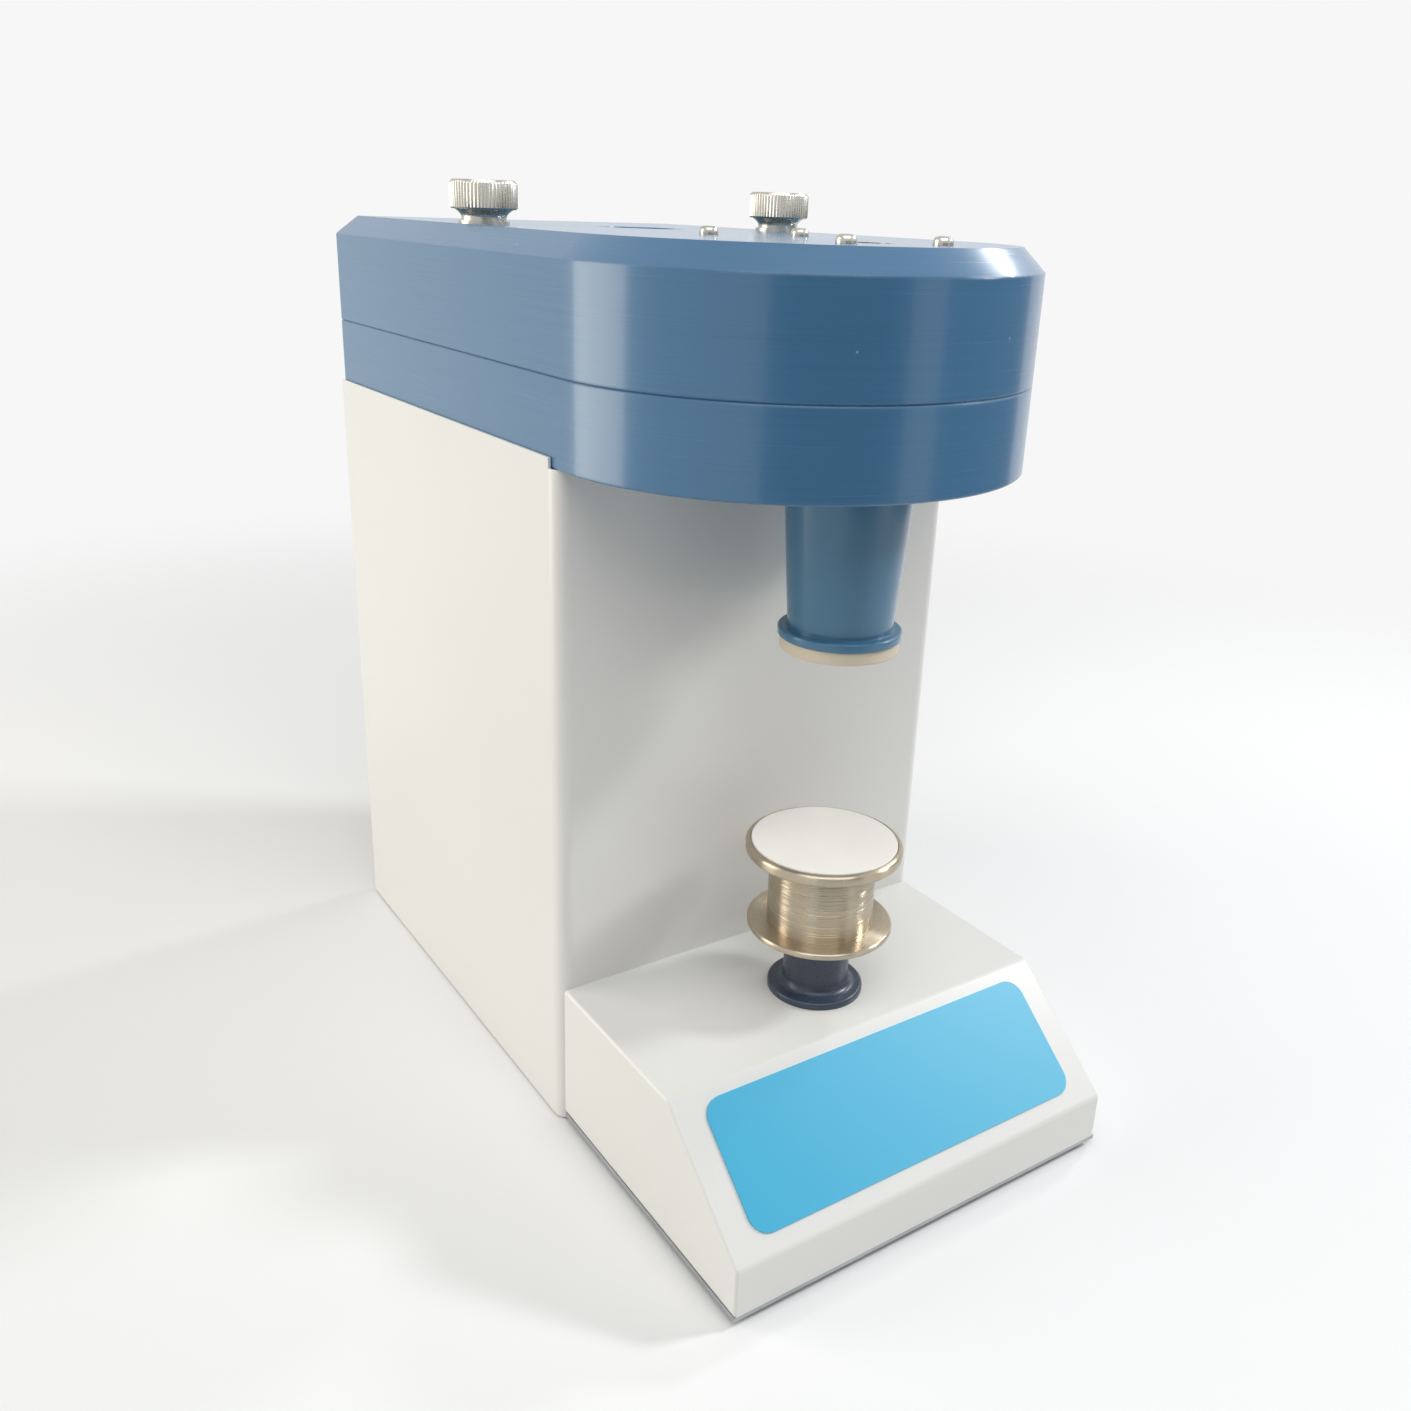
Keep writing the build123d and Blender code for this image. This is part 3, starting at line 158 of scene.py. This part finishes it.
# Surroundings, in metres
BACKGROUND = 0.93
SKY_LIGHT = 0.3
FLOOR_REACH = 3.0
FLOOR_SOLID = 0.45
FLOOR_GONE = 1.3
MATT = 0.9
CARD_PLACE = (-0.2, -0.89, 0.24)
CARD_SIZE = (0.95, 0.48)
SIDE_CARD_PLACE = (0.87, -0.5, 0.24)
SIDE_CARD_SIZE = (1.1, 0.48)

# A tall window at the left rear, a small ceiling lamp at the right, a soft light above and
# a small one behind: name, place, target, size, watts and colour
LAMPS = (
    ("left window", (-1.36, 0.84, 0.55), (0, 0, 0.25), (1.0, 1.5), 16.0, (1.0, 0.94, 0.83)),
    ("ceiling lamp", (1.38, -0.66, 1.2), (0, 0, 0.2), (0.26, 0.26), 14.0, (0.97, 0.99, 1.0)),
    ("front light", (-0.4, -0.85, 1.75), (0, -0.05, 0.1), (1.8, 1.2), 17.0, (0.96, 0.985, 1.0)),
    ("right rim", (1.5, 0.27, 1.3), (0, 0, 0.3), (0.18, 0.18), 5.0, (0.97, 0.99, 1.0)),
)


def tone(red, green, blue):
    """Linear colour from an ordinary 0 to 255 one, by the usual display curve."""
    out = []
    for value in (red, green, blue):
        share = value / 255
        out.append(share / 12.92 if share <= 0.04045 else ((share + 0.055) / 1.055) ** 2.4)
    return (*out, 1.0)


def shaded(colour, share):
    """The same colour, darker or lighter by a share."""
    return tuple(min(1.0, channel * share) for channel in colour[:3]) + (1.0,)


class Shader:
    """A material's node tree, built a node at a time."""

    def __init__(self, name):
        self.material = bpy.data.materials.new(name)
        self.material.use_nodes = True
        self.tree = self.material.node_tree
        self.surface = self.tree.nodes["Principled BSDF"]
        self.place = self.node("ShaderNodeTexCoord").outputs["Object"]

    def node(self, kind, inputs=None, **settings):
        made = self.tree.nodes.new(kind)
        for key, value in settings.items():
            setattr(made, key, value)
        for key, value in (inputs or {}).items():
            self.feed(made.inputs[key], value)
        return made

    def feed(self, socket, value):
        if isinstance(value, bpy.types.NodeSocket):
            self.tree.links.new(value, socket)
        else:
            socket.default_value = value

    def set(self, **inputs):
        for key, value in inputs.items():
            self.feed(self.surface.inputs[key.replace("_", " ")], value)

    def stretched(self, scale):
        return self.node("ShaderNodeMapping", {"Vector": self.place, "Scale": scale}).outputs[0]

    def noise(self, scale, detail=3.0, roughness=0.5, vector=None):
        made = self.node("ShaderNodeTexNoise", {"Vector": vector or self.place, "Scale": scale,
                                                "Detail": detail, "Roughness": roughness})
        return made.outputs["Fac"]

    def span(self, value, low, high, to_low=0.0, to_high=1.0):
        made = self.node("ShaderNodeMapRange", {"Value": value, "From Min": low, "From Max": high,
                                                "To Min": to_low, "To Max": to_high})
        return made.outputs[0]

    def spread(self, noise, to_low=0.0, to_high=1.0, reach=0.2):
        """Noise whose middle part, a reach to either side of a half, fills the whole new range."""
        return self.span(noise, 0.5 - reach, 0.5 + reach, to_low, to_high)

    def math(self, operation, first, second):
        return self.node("ShaderNodeMath", {0: first, 1: second}, operation=operation).outputs[0]

    def mix(self, factor, first, second):
        """Colour mix, whose colour sockets come after those for numbers and vectors."""
        made = self.node("ShaderNodeMix", data_type="RGBA")
        self.feed(made.inputs[0], factor)
        self.feed(made.inputs[6], first)
        self.feed(made.inputs[7], second)
        return made.outputs[2]

    def bump(self, height, distance, strength, under=None):
        inputs = {"Height": height, "Distance": distance, "Strength": strength}
        if under:
            inputs["Normal"] = under
        return self.node("ShaderNodeBump", inputs).outputs[0]

    def along(self, axis):
        """Place along one axis, given as 0, 1 or 2."""
        return self.node("ShaderNodeSeparateXYZ", {0: self.place}).outputs[axis]

    def vector(self, operation, first, second=(0, 0, 0)):
        return self.node("ShaderNodeVectorMath", {0: first, 1: second}, operation=operation)

    def radius_about(self, x, y):
        """Distance from an upright axis."""
        shifted = self.vector("ADD", self.place, (-x, -y, 0)).outputs[0]
        flat = self.vector("MULTIPLY", shifted, (1, 1, 0)).outputs[0]
        return self.vector("LENGTH", flat).outputs["Value"]


def powder_coat(name, colour, roughness):
    """Smooth semi-gloss powder coat: very faint orange peel and a slight drift in colour."""
    s = Shader(name)
    drift = s.spread(s.noise(scale=5.0, detail=2.0), reach=0.15)
    s.set(Base_Color=s.mix(drift, colour, shaded(colour, 0.975)))
    s.set(Roughness=s.spread(s.noise(scale=12.0, detail=1.0), roughness - 0.02, roughness + 0.02))
    s.set(Normal=s.bump(s.noise(scale=700.0, detail=0.0), distance=0.000012, strength=0.4))
    return s.material


def brushed_enamel(name, colour, marks=1.0):
    """Gloss enamel over level brush marks, with a few specks under the paint."""
    s = Shader(name)
    soft = s.node("ShaderNodeBevel", {"Radius": EDGE_SOFTNESS}, samples=4).outputs[0]
    strokes = s.noise(scale=1.0, detail=4.0, roughness=0.6, vector=s.stretched(STROKE_STRETCH))
    streaks = s.noise(scale=1.0, vector=s.stretched(STREAK_STRETCH))
    shade = STROKE_SHADE * marks
    body = s.mix(s.spread(strokes), shaded(colour, 1 - shade), shaded(colour, 1 + shade))
    body = s.mix(s.spread(streaks, to_high=0.4, reach=0.15), body, shaded(colour, STREAK_SHADE))
    cells = s.node("ShaderNodeTexVoronoi", {"Vector": s.place, "Scale": SPECK_CELLS, "Randomness": 1.0})
    chance = s.node("ShaderNodeSeparateColor", {0: cells.outputs["Color"]}).outputs[0]
    rare = s.math("GREATER_THAN", chance, SPECK_CHANCE)
    near = s.math("LESS_THAN", cells.outputs["Distance"], SPECK_SIZE)
    speck = s.math("MULTIPLY", rare, near)
    s.set(Base_Color=s.mix(s.math("MULTIPLY", speck, 0.5), body, SPECK_TONE))
    s.set(Roughness=s.spread(strokes, ENAMEL_ROUGHNESS - 0.04 * marks, ENAMEL_ROUGHNESS + 0.03 * marks,
                             reach=0.25))
    normal = s.bump(strokes, distance=0.00004, strength=0.5 * marks, under=soft)
    normal = s.bump(streaks, distance=0.0001, strength=0.3 * marks, under=normal)
    s.set(Normal=s.bump(speck, distance=0.0002, strength=0.5, under=normal))
    s.set(Coat_Weight=0.35, Coat_Roughness=0.1)
    return s.material


def painted_rim(name, metal, paint, axis, radius):
    """Plated tube whose outer rim has the cover's paint over it."""
    s = Shader(name)
    rim = s.math("GREATER_THAN", s.radius_about(*axis), radius)
    fine = s.noise(scale=400.0, roughness=0.6)
    s.set(Base_Color=s.mix(rim, metal, paint))
    s.set(Metallic=s.math("SUBTRACT", 1.0, rim))
    s.set(Roughness=s.spread(fine, 0.24, 0.32))
    s.set(Normal=s.bump(fine, distance=0.00002, strength=0.5))
    return s.material


def turned_metal(name, colour, roughness, axis):
    """Metal turned about an upright axis: fine rings that draw its reflections out upwards."""
    s = Shader(name)
    s.set(Tangent=s.node("ShaderNodeTangent", direction_type="RADIAL", axis="Z").outputs[0])
    s.set(Metallic=1.0, Anisotropic=0.95, Anisotropic_Rotation=0.25)
    section = s.node("ShaderNodeCombineXYZ", {0: s.radius_about(*axis), 1: 0.0, 2: s.along(2)}).outputs[0]
    rings = s.noise(scale=1.0 / RING_PITCH, detail=2.0, roughness=0.7, vector=section)
    bands = s.noise(scale=0.12 / RING_PITCH, roughness=0.6, vector=section)
    worn = s.noise(scale=90.0)
    s.set(Base_Color=s.mix(s.spread(bands, to_high=0.6), colour, shaded(colour, 0.8)))
    s.set(Roughness=s.math("ADD", s.spread(rings, roughness - 0.05, roughness + 0.06),
                           s.span(worn, 0.4, 0.7, to_high=0.05)))
    normal = s.bump(bands, distance=RING_DEPTH * 3, strength=0.4)
    s.set(Normal=s.bump(rings, distance=RING_DEPTH, strength=0.6, under=normal))
    return s.material


def plain_metal(name, colour, roughness, grain, depth=0.00003):
    """Plated or cast metal with a fine even grain."""
    s = Shader(name)
    cloud = s.noise(scale=35.0)
    fine = s.noise(scale=grain, roughness=0.6)
    s.set(Base_Color=s.mix(s.spread(cloud), colour, shaded(colour, 0.82)))
    s.set(Roughness=s.spread(fine, roughness - 0.06, roughness + 0.08))
    s.set(Normal=s.bump(fine, distance=depth, strength=0.6))
    s.set(Metallic=1.0)
    return s.material


def moulded(name, colour, roughness, grain, depth, drift=0.12):
    """Moulded rubber or plastic with a fine grain."""
    s = Shader(name)
    cloud = s.noise(scale=40.0)
    fine = s.noise(scale=grain, detail=2.0)
    s.set(Base_Color=s.mix(s.spread(cloud), colour, shaded(colour, 1 - drift)))
    s.set(Roughness=s.spread(fine, roughness - 0.06, roughness + 0.06))
    s.set(Normal=s.bump(fine, distance=depth, strength=0.5))
    return s.material


def film_plate_with_painted_sheen(name, left, right, half_width):
    """Satin film, painted lighter towards the right: a painted sheen standing in for reflected light."""
    s = Shader(name)
    fade = s.span(s.along(0), -half_width, half_width)
    grain = s.noise(scale=1500.0, detail=2.0)
    # Painted sheen: the film's blue is blended from the left tone to a lighter right tone, standing in for
    # reflected light.
    s.set(Base_Color=s.mix(fade, left, right))
    s.set(Roughness=s.spread(grain, 0.4, 0.46))
    s.set(Normal=s.bump(grain, distance=0.00002, strength=0.4))
    return s.material


def laminated(name, colour):
    """Stack of thin steel sheets."""
    s = Shader(name)
    line = s.span(s.math("PINGPONG", s.along(2), LEAF), 0.0, LEAF)
    s.set(Base_Color=s.mix(line, shaded(colour, 0.5), colour))
    s.set(Roughness=s.spread(s.noise(scale=300.0), 0.4, 0.55))
    s.set(Normal=s.bump(line, distance=0.0001, strength=0.5))
    s.set(Metallic=0.8)
    return s.material


def centre_of(node):
    low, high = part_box(node)
    return ((low[0] + high[0]) / 2, (low[1] + high[1]) / 2)


tray_axis = centre_of("sample_tray")
chamber_axis = centre_of("motor_housing")
label_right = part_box("name_plate")[1][0]
cover_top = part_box("upper_cover")[1][2] * MM

BLUE = tone(66, 114, 152)
CONE_BLUE = tone(64, 116, 148)
SPECK_TONE = tone(170, 196, 214)
# Label tones: the film's own blue at the left, and a lighter right tone that is painted sheen.
LABEL_TONES_WITH_PAINTED_SHEEN = (tone(56, 174, 213), tone(92, 186, 220))
FLOOR_TONE = tone(242, 242, 242)
CARD_TONE = tone(92, 78, 68)
SIDE_CARD_TONE = tone(140, 148, 160)

finishes = {
    "white_powder_coat": powder_coat("white powder coat", tone(232, 231, 227), 0.3),
    "blue_paint": brushed_enamel("brushed blue enamel", BLUE),
    "cone_paint": brushed_enamel("smooth blue enamel", CONE_BLUE, marks=0.2),
    "feed_rim": painted_rim("feed tube", tone(205, 205, 205), BLUE, chamber_axis, FEED_RIM),
    "label_film": film_plate_with_painted_sheen("blue film with painted sheen", *LABEL_TONES_WITH_PAINTED_SHEEN, label_right),
    "turned_nickel": turned_metal("turned nickel", tone(194, 181, 160), 0.28, tray_axis),
    "bright_steel": plain_metal("bright steel", tone(192, 190, 182), 0.26, grain=1100.0, depth=0.00001),
    "zinc_steel": plain_metal("zinc plate", tone(188, 191, 194), 0.34, grain=1000.0, depth=0.00001),
    "cast_aluminium": plain_metal("cast aluminium", tone(196, 198, 200), 0.42, grain=300.0, depth=0.0001),
    "motor_paint": moulded("motor enamel", tone(62, 66, 70), 0.42, grain=500.0, depth=0.0001),
    "laminations": laminated("laminations", tone(130, 130, 132)),
    "copper_winding": plain_metal("varnished copper", tone(178, 104, 60), 0.3, grain=700.0, depth=0.0002),
    "abrasive": moulded("abrasive ring", tone(88, 84, 80), 0.85, grain=1200.0, depth=0.0006, drift=0.4),
    "ivory_rubber": moulded("ivory pad", tone(236, 232, 224), 0.55, grain=700.0, depth=0.00005, drift=0.04),
    "cream_rubber": moulded("cream rubber", tone(226, 214, 190), 0.62, grain=600.0, depth=0.0001, drift=0.1),
    "black_rubber": moulded("black rubber", tone(36, 36, 37), 0.75, grain=800.0, depth=0.0001),
    "black_plastic": moulded("black plastic", tone(60, 72, 90), 0.32, grain=900.0, depth=0.00001, drift=0.04),
    "capacitor_can": plain_metal("drawn can", tone(205, 206, 208), 0.3, grain=500.0),
}

slot_of = {entry["node"]: entry["material_slot"] for entry in frame["record"]["subparts"]}
own_finish = {"cyclone_cone": "cone_paint", "feed_tube": "feed_rim"}
for node, thing in frame["nodes"].items():
    thing.data.materials.clear()
    thing.data.materials.append(finishes[own_finish.get(node, slot_of[node])])


def lathe(name, profile, axis, finish, steps, teeth=((), 0.0, 1)):
    """Piece turned from (radius, height) points in mm. Teeth are given as (rows, depth, count)."""
    rows, depth, count = teeth
    verts = []
    for index, (radius, height) in enumerate(profile):
        for step in range(steps):
            angle = 2 * math.pi * step / steps
            phase = (step * count / steps) % 1.0
            cut = depth * abs(2 * phase - 1) ** TOOTH_SHAPE if index in rows else 0.0
            reach = (radius - cut) / MM
            verts.append((axis[0] + reach * math.cos(angle), axis[1] + reach * math.sin(angle), height / MM))
    faces = []
    is_ring = profile[0][0] > 0
    for row in range(len(profile) if is_ring else len(profile) - 1):
        here, there = row * steps, ((row + 1) % len(profile)) * steps
        for step in range(steps):
            after = (step + 1) % steps
            faces.append((here + step, here + after, there + after, there + step))
    mesh = bpy.data.meshes.new(name)
    mesh.from_pydata(verts, [], faces)
    mesh.validate()
    work = bmesh.new()
    work.from_mesh(mesh)
    bmesh.ops.remove_doubles(work, verts=work.verts, dist=WELD)
    bmesh.ops.recalc_face_normals(work, faces=work.faces)
    work.to_mesh(mesh)
    work.free()
    mesh.polygons.foreach_set("use_smooth", [True] * len(mesh.polygons))
    mesh.set_sharp_from_angle(angle=math.radians(SHARP_ANGLE))
    mesh.materials.append(finish)
    piece = bpy.data.objects.new(name, mesh)
    bpy.context.collection.objects.link(piece)
    return piece


def bend(centre, radius, start, stop):
    """Points of a rounded corner in a lathe profile, angles in degrees."""
    out = []
    for step in range(BEND_STEPS + 1):
        angle = math.radians(start + (stop - start) * step / BEND_STEPS)
        out.append((centre[0] + radius * math.cos(angle), centre[1] + radius * math.sin(angle)))
    return out


def waist_marks(bottom, top):
    """Points of the tool marks that a spool's waist has between two heights."""
    marks = random.Random(MARK_SEED)
    out = []
    height = bottom
    while height < top - 2 * MARK_PITCH:
        step = MARK_PITCH * marks.uniform(*MARK_PITCH_SPREAD)
        cut = MARK_DEPTH * marks.uniform(*MARK_DEPTH_SPREAD) ** 2
        out += [(SPOOL_WAIST, height), (SPOOL_WAIST, height + step * MARK_FLAT),
                (SPOOL_WAIST - cut, height + step * MARK_FLOOR)]
        height += step
    return out + [(SPOOL_WAIST, top)]


def make_spool():
    """Turned spool with tool marks on its waist and rounded lips."""
    low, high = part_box("sample_tray")
    bottom, top = low[2] * MM + SKIN, high[2] * MM - SKIN
    rim = high[0] * MM - SKIN
    flange_top, rim_low = bottom + SPOOL_FLANGE, top - SPOOL_RIM
    seat, ceiling = top - SPOOL_SEAT, top - SPOOL_CEILING
    profile = [(SPOOL_BORE, bottom)]
    profile += bend((SPOOL_LIP - SPOOL_EDGE, bottom + SPOOL_EDGE), SPOOL_EDGE, -90, 0)
    profile += bend((SPOOL_LIP - SPOOL_EDGE, flange_top - SPOOL_EDGE), SPOOL_EDGE, 0, 90)
    profile += waist_marks(flange_top, rim_low)
    profile += bend((rim - SPOOL_EDGE, rim_low + SPOOL_EDGE), SPOOL_EDGE, -90, 0)
    profile += bend((rim - SPOOL_ROUND, top - SPOOL_ROUND), SPOOL_ROUND, 0, 90)
    profile += [(SPOOL_POCKET, top), (SPOOL_POCKET, seat), (SPOOL_SPIGOT, seat)]
    profile += [(SPOOL_SPIGOT, ceiling), (SPOOL_BORE, ceiling)]
    piece = lathe("turned_spool", profile, tray_axis, finishes["turned_nickel"], SPOOL_STEPS)
    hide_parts("sample_tray")
    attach(piece, "tray")


def make_thumb_screws():
    """Knurled screws with a dished neck, a bevelled crown and a flat foot."""
    for node, body in (("thumb_screw_left", "left_knob"), ("thumb_screw_right", "right_knob")):
        low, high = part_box(node)
        bottom, top = low[2] * MM + SKIN, high[2] * MM - SKIN
        foot_top = cover_top + THUMB_FOOT_HEIGHT
        crown = THUMB_RADIUS - SKIN
        knurl_low = top - THUMB_KNURL
        profile = [(0.0, bottom), (THUMB_SHANK, bottom), (THUMB_SHANK, cover_top)]
        profile += [(THUMB_FOOT, cover_top), (THUMB_FOOT, foot_top)]
        for step in range(THUMB_NECK_STEPS + 1):
            share = step / THUMB_NECK_STEPS
            flare = THUMB_FLARE * max(0.0, share - THUMB_NECK_STRAIGHT) ** THUMB_FLARE_SHAPE
            profile.append((THUMB_NECK + flare, foot_top + (knurl_low - foot_top) * share))
        profile += [(crown - inset, knurl_low + rise) for inset, rise in THUMB_UNDER]
        toothed = (len(profile) - 1, len(profile))
        profile += [(crown - inset, top - drop) for inset, drop in THUMB_CROWN]
        profile.append((0.0, profile[-1][1]))
        piece = lathe(body + "_screw", profile, centre_of(node), finishes["bright_steel"],
                      THUMB_TEETH * THUMB_TOOTH_STEPS, (toothed, THUMB_TOOTH, THUMB_TEETH))
        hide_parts(node)
        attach(piece, body)


def make_button_heads():
    """Four screws with low round heads and round recesses in the cover."""
    low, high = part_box("cover_screws")
    mesh = frame["nodes"]["cover_screws"].data
    place = frame["nodes"]["cover_screws"].matrix_world
    middle = centre_of("cover_screws")
    corners = [place @ v.co for v in mesh.vertices]
    bottom, top = low[2] * MM + SKIN, cover_top + BUTTON_HEIGHT
    head_low, shoulder = cover_top + SKIN, top - BUTTON_CROWN
    socket_low = top - BUTTON_SOCKET_DEPTH
    made = []
    for right, behind in ((False, False), (False, True), (True, False), (True, True)):
        mine = [c for c in corners if (c.x > middle[0]) == right and (c.y > middle[1]) == behind]
        xs, ys = [c.x for c in mine], [c.y for c in mine]
        axis = ((min(xs) + max(xs)) / 2, (min(ys) + max(ys)) / 2)
        radius = (max(xs) - min(xs)) / 2 * MM + BUTTON_LIP
        under = [c for c in mine if c.z * MM < cover_top - BUTTON_UNDER]
        shank = max(math.hypot(c.x - axis[0], c.y - axis[1]) for c in under) * MM - SKIN
        recess = BUTTON_SOCKET + BUTTON_SOCKET_EDGE
        profile = [(0.0, bottom), (shank, bottom), (shank, head_low), (radius, head_low), (radius, shoulder)]
        for step in range(1, BUTTON_CROWN_STEPS + 1):
            angle = math.pi / 2 * step / BUTTON_CROWN_STEPS
            profile.append((recess + (radius - recess) * math.cos(angle),
                            shoulder + BUTTON_CROWN * math.sin(angle)))
        profile += [(BUTTON_SOCKET, top), (BUTTON_SOCKET, socket_low), (0.0, socket_low)]
        made.append(lathe("button", profile, axis, finishes["bright_steel"], BUTTON_STEPS))
    bpy.ops.object.select_all(action="DESELECT")
    for piece in made:
        piece.select_set(True)
    bpy.context.view_layer.objects.active = made[0]
    bpy.ops.object.join()
    piece = bpy.context.object
    piece.name = "button_screws"
    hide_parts("cover_screws")
    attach(piece, "cover")


def make_tray_coil():
    """Coil under the tray, copied and set on the machine's body."""
    node = frame["nodes"]["tray_spring"]
    piece = bpy.data.objects.new("tray_coil", node.data.copy())
    bpy.context.collection.objects.link(piece)
    piece.matrix_world = node.matrix_world.copy()
    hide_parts("tray_spring")
    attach(piece, "machine")
    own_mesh(piece)


def facing(place, target, forward):
    """Turn that points one local axis from a place to a target."""
    return (Vector(target) - Vector(place)).to_track_quat(forward, "Y").to_euler()


def make_card(name, place, size, colour):
    """Upright card that faces the mill and that the camera doesn't see."""
    bpy.ops.mesh.primitive_plane_add(size=1.0, location=place)
    card = bpy.context.object
    card.name = name
    card.scale = (*size, 1.0)
    card.rotation_euler = facing(place, (0, 0, place[2]), "Z")
    s = Shader(name)
    s.set(Base_Color=s.mix(s.spread(s.noise(scale=4.0)), colour, shaded(colour, 0.9)), Roughness=MATT)
    card.data.materials.append(s.material)
    card.visible_camera = False
    return card


def make_stage():
    """Pale floor that fades into the white round it, and low cards that the gloss reflects."""
    bpy.ops.mesh.primitive_plane_add(size=2 * FLOOR_REACH, location=(0, 0, cad_box[0][2]))
    floor = bpy.context.object
    floor.name = "floor"
    s = Shader("pale floor")
    s.set(Base_Color=s.mix(s.spread(s.noise(scale=3.0)), FLOOR_TONE, shaded(FLOOR_TONE, 0.99)))
    s.set(Roughness=MATT, Specular_IOR_Level=0.1)
    far = s.vector("LENGTH", s.place).outputs["Value"]
    fade = s.node("ShaderNodeMapRange", {"Value": far, "From Min": FLOOR_SOLID, "From Max": FLOOR_GONE,
                                         "To Min": 1.0, "To Max": 0.0}, interpolation_type="SMOOTHSTEP")
    s.set(Alpha=fade.outputs[0])
    floor.data.materials.append(s.material)

    front = make_card("front_card", CARD_PLACE, CARD_SIZE, CARD_TONE)
    side = make_card("side_card", SIDE_CARD_PLACE, SIDE_CARD_SIZE, SIDE_CARD_TONE)
    side.visible_shadow = False
    side.visible_diffuse = False


def make_world():
    """White to the camera and in reflections, and a soft even sky for light."""
    world = bpy.data.worlds.new("studio")
    bpy.context.scene.world = world
    world.use_nodes = True
    tree = world.node_tree
    path = tree.nodes.new("ShaderNodeLightPath")
    seen = path.outputs["Is Camera Ray"]
    for ray in ("Is Glossy Ray", "Is Transmission Ray"):
        either = tree.nodes.new("ShaderNodeMath")
        either.operation = "MAXIMUM"
        tree.links.new(seen, either.inputs[0])
        tree.links.new(path.outputs[ray], either.inputs[1])
        seen = either.outputs[0]
    strength = tree.nodes.new("ShaderNodeMapRange")
    tree.links.new(seen, strength.inputs["Value"])
    strength.inputs["To Min"].default_value = SKY_LIGHT
    strength.inputs["To Max"].default_value = BACKGROUND
    background = tree.nodes["Background"]
    background.inputs["Color"].default_value = (1, 1, 1, 1)
    tree.links.new(strength.outputs[0], background.inputs["Strength"])


def make_lamps():
    """The soft rectangular lamps."""
    for name, place, target, size, watts, colour in LAMPS:
        data = bpy.data.lights.new(name, "AREA")
        data.shape = "RECTANGLE"
        data.size, data.size_y = size
        data.energy = watts
        data.color = colour
        lamp = bpy.data.objects.new(name, data)
        bpy.context.collection.objects.link(lamp)
        lamp.location = place
        lamp.rotation_euler = facing(place, target, "-Z")


def make_camera():
    """Camera at the photograph's angle."""
    yaw, pitch, roll = (math.radians(a) for a in (CAMERA_YAW, CAMERA_PITCH, CAMERA_ROLL))
    ahead = Vector((math.sin(yaw) * math.cos(pitch), math.cos(yaw) * math.cos(pitch), -math.sin(pitch)))
    level = Vector((math.cos(yaw), -math.sin(yaw), 0))
    upright = level.cross(ahead)
    right = level * math.cos(roll) + upright * math.sin(roll)
    up = upright * math.cos(roll) - level * math.sin(roll)
    turn = Matrix((right, up, -ahead)).transposed().to_4x4()
    data = bpy.data.cameras.new("camera")
    data.sensor_width = SENSOR
    data.sensor_fit = "HORIZONTAL"
    data.lens = FOCAL_PIXELS / PHOTO_SIDE * SENSOR
    data.shift_x = (PHOTO_SIDE / 2 - AXIS_PIXEL[0]) / PHOTO_SIDE
    data.shift_y = (AXIS_PIXEL[1] - PHOTO_SIDE / 2) / PHOTO_SIDE
    camera = bpy.data.objects.new("camera", data)
    bpy.context.collection.objects.link(camera)
    camera.matrix_world = Matrix.Translation(CAMERA_PLACE) @ turn
    bpy.context.scene.camera = camera


make_spool()
make_thumb_screws()
make_button_heads()
make_tray_coil()
make_stage()
make_world()
make_lamps()
make_camera()
bpy.context.scene.view_settings.view_transform = "Standard"
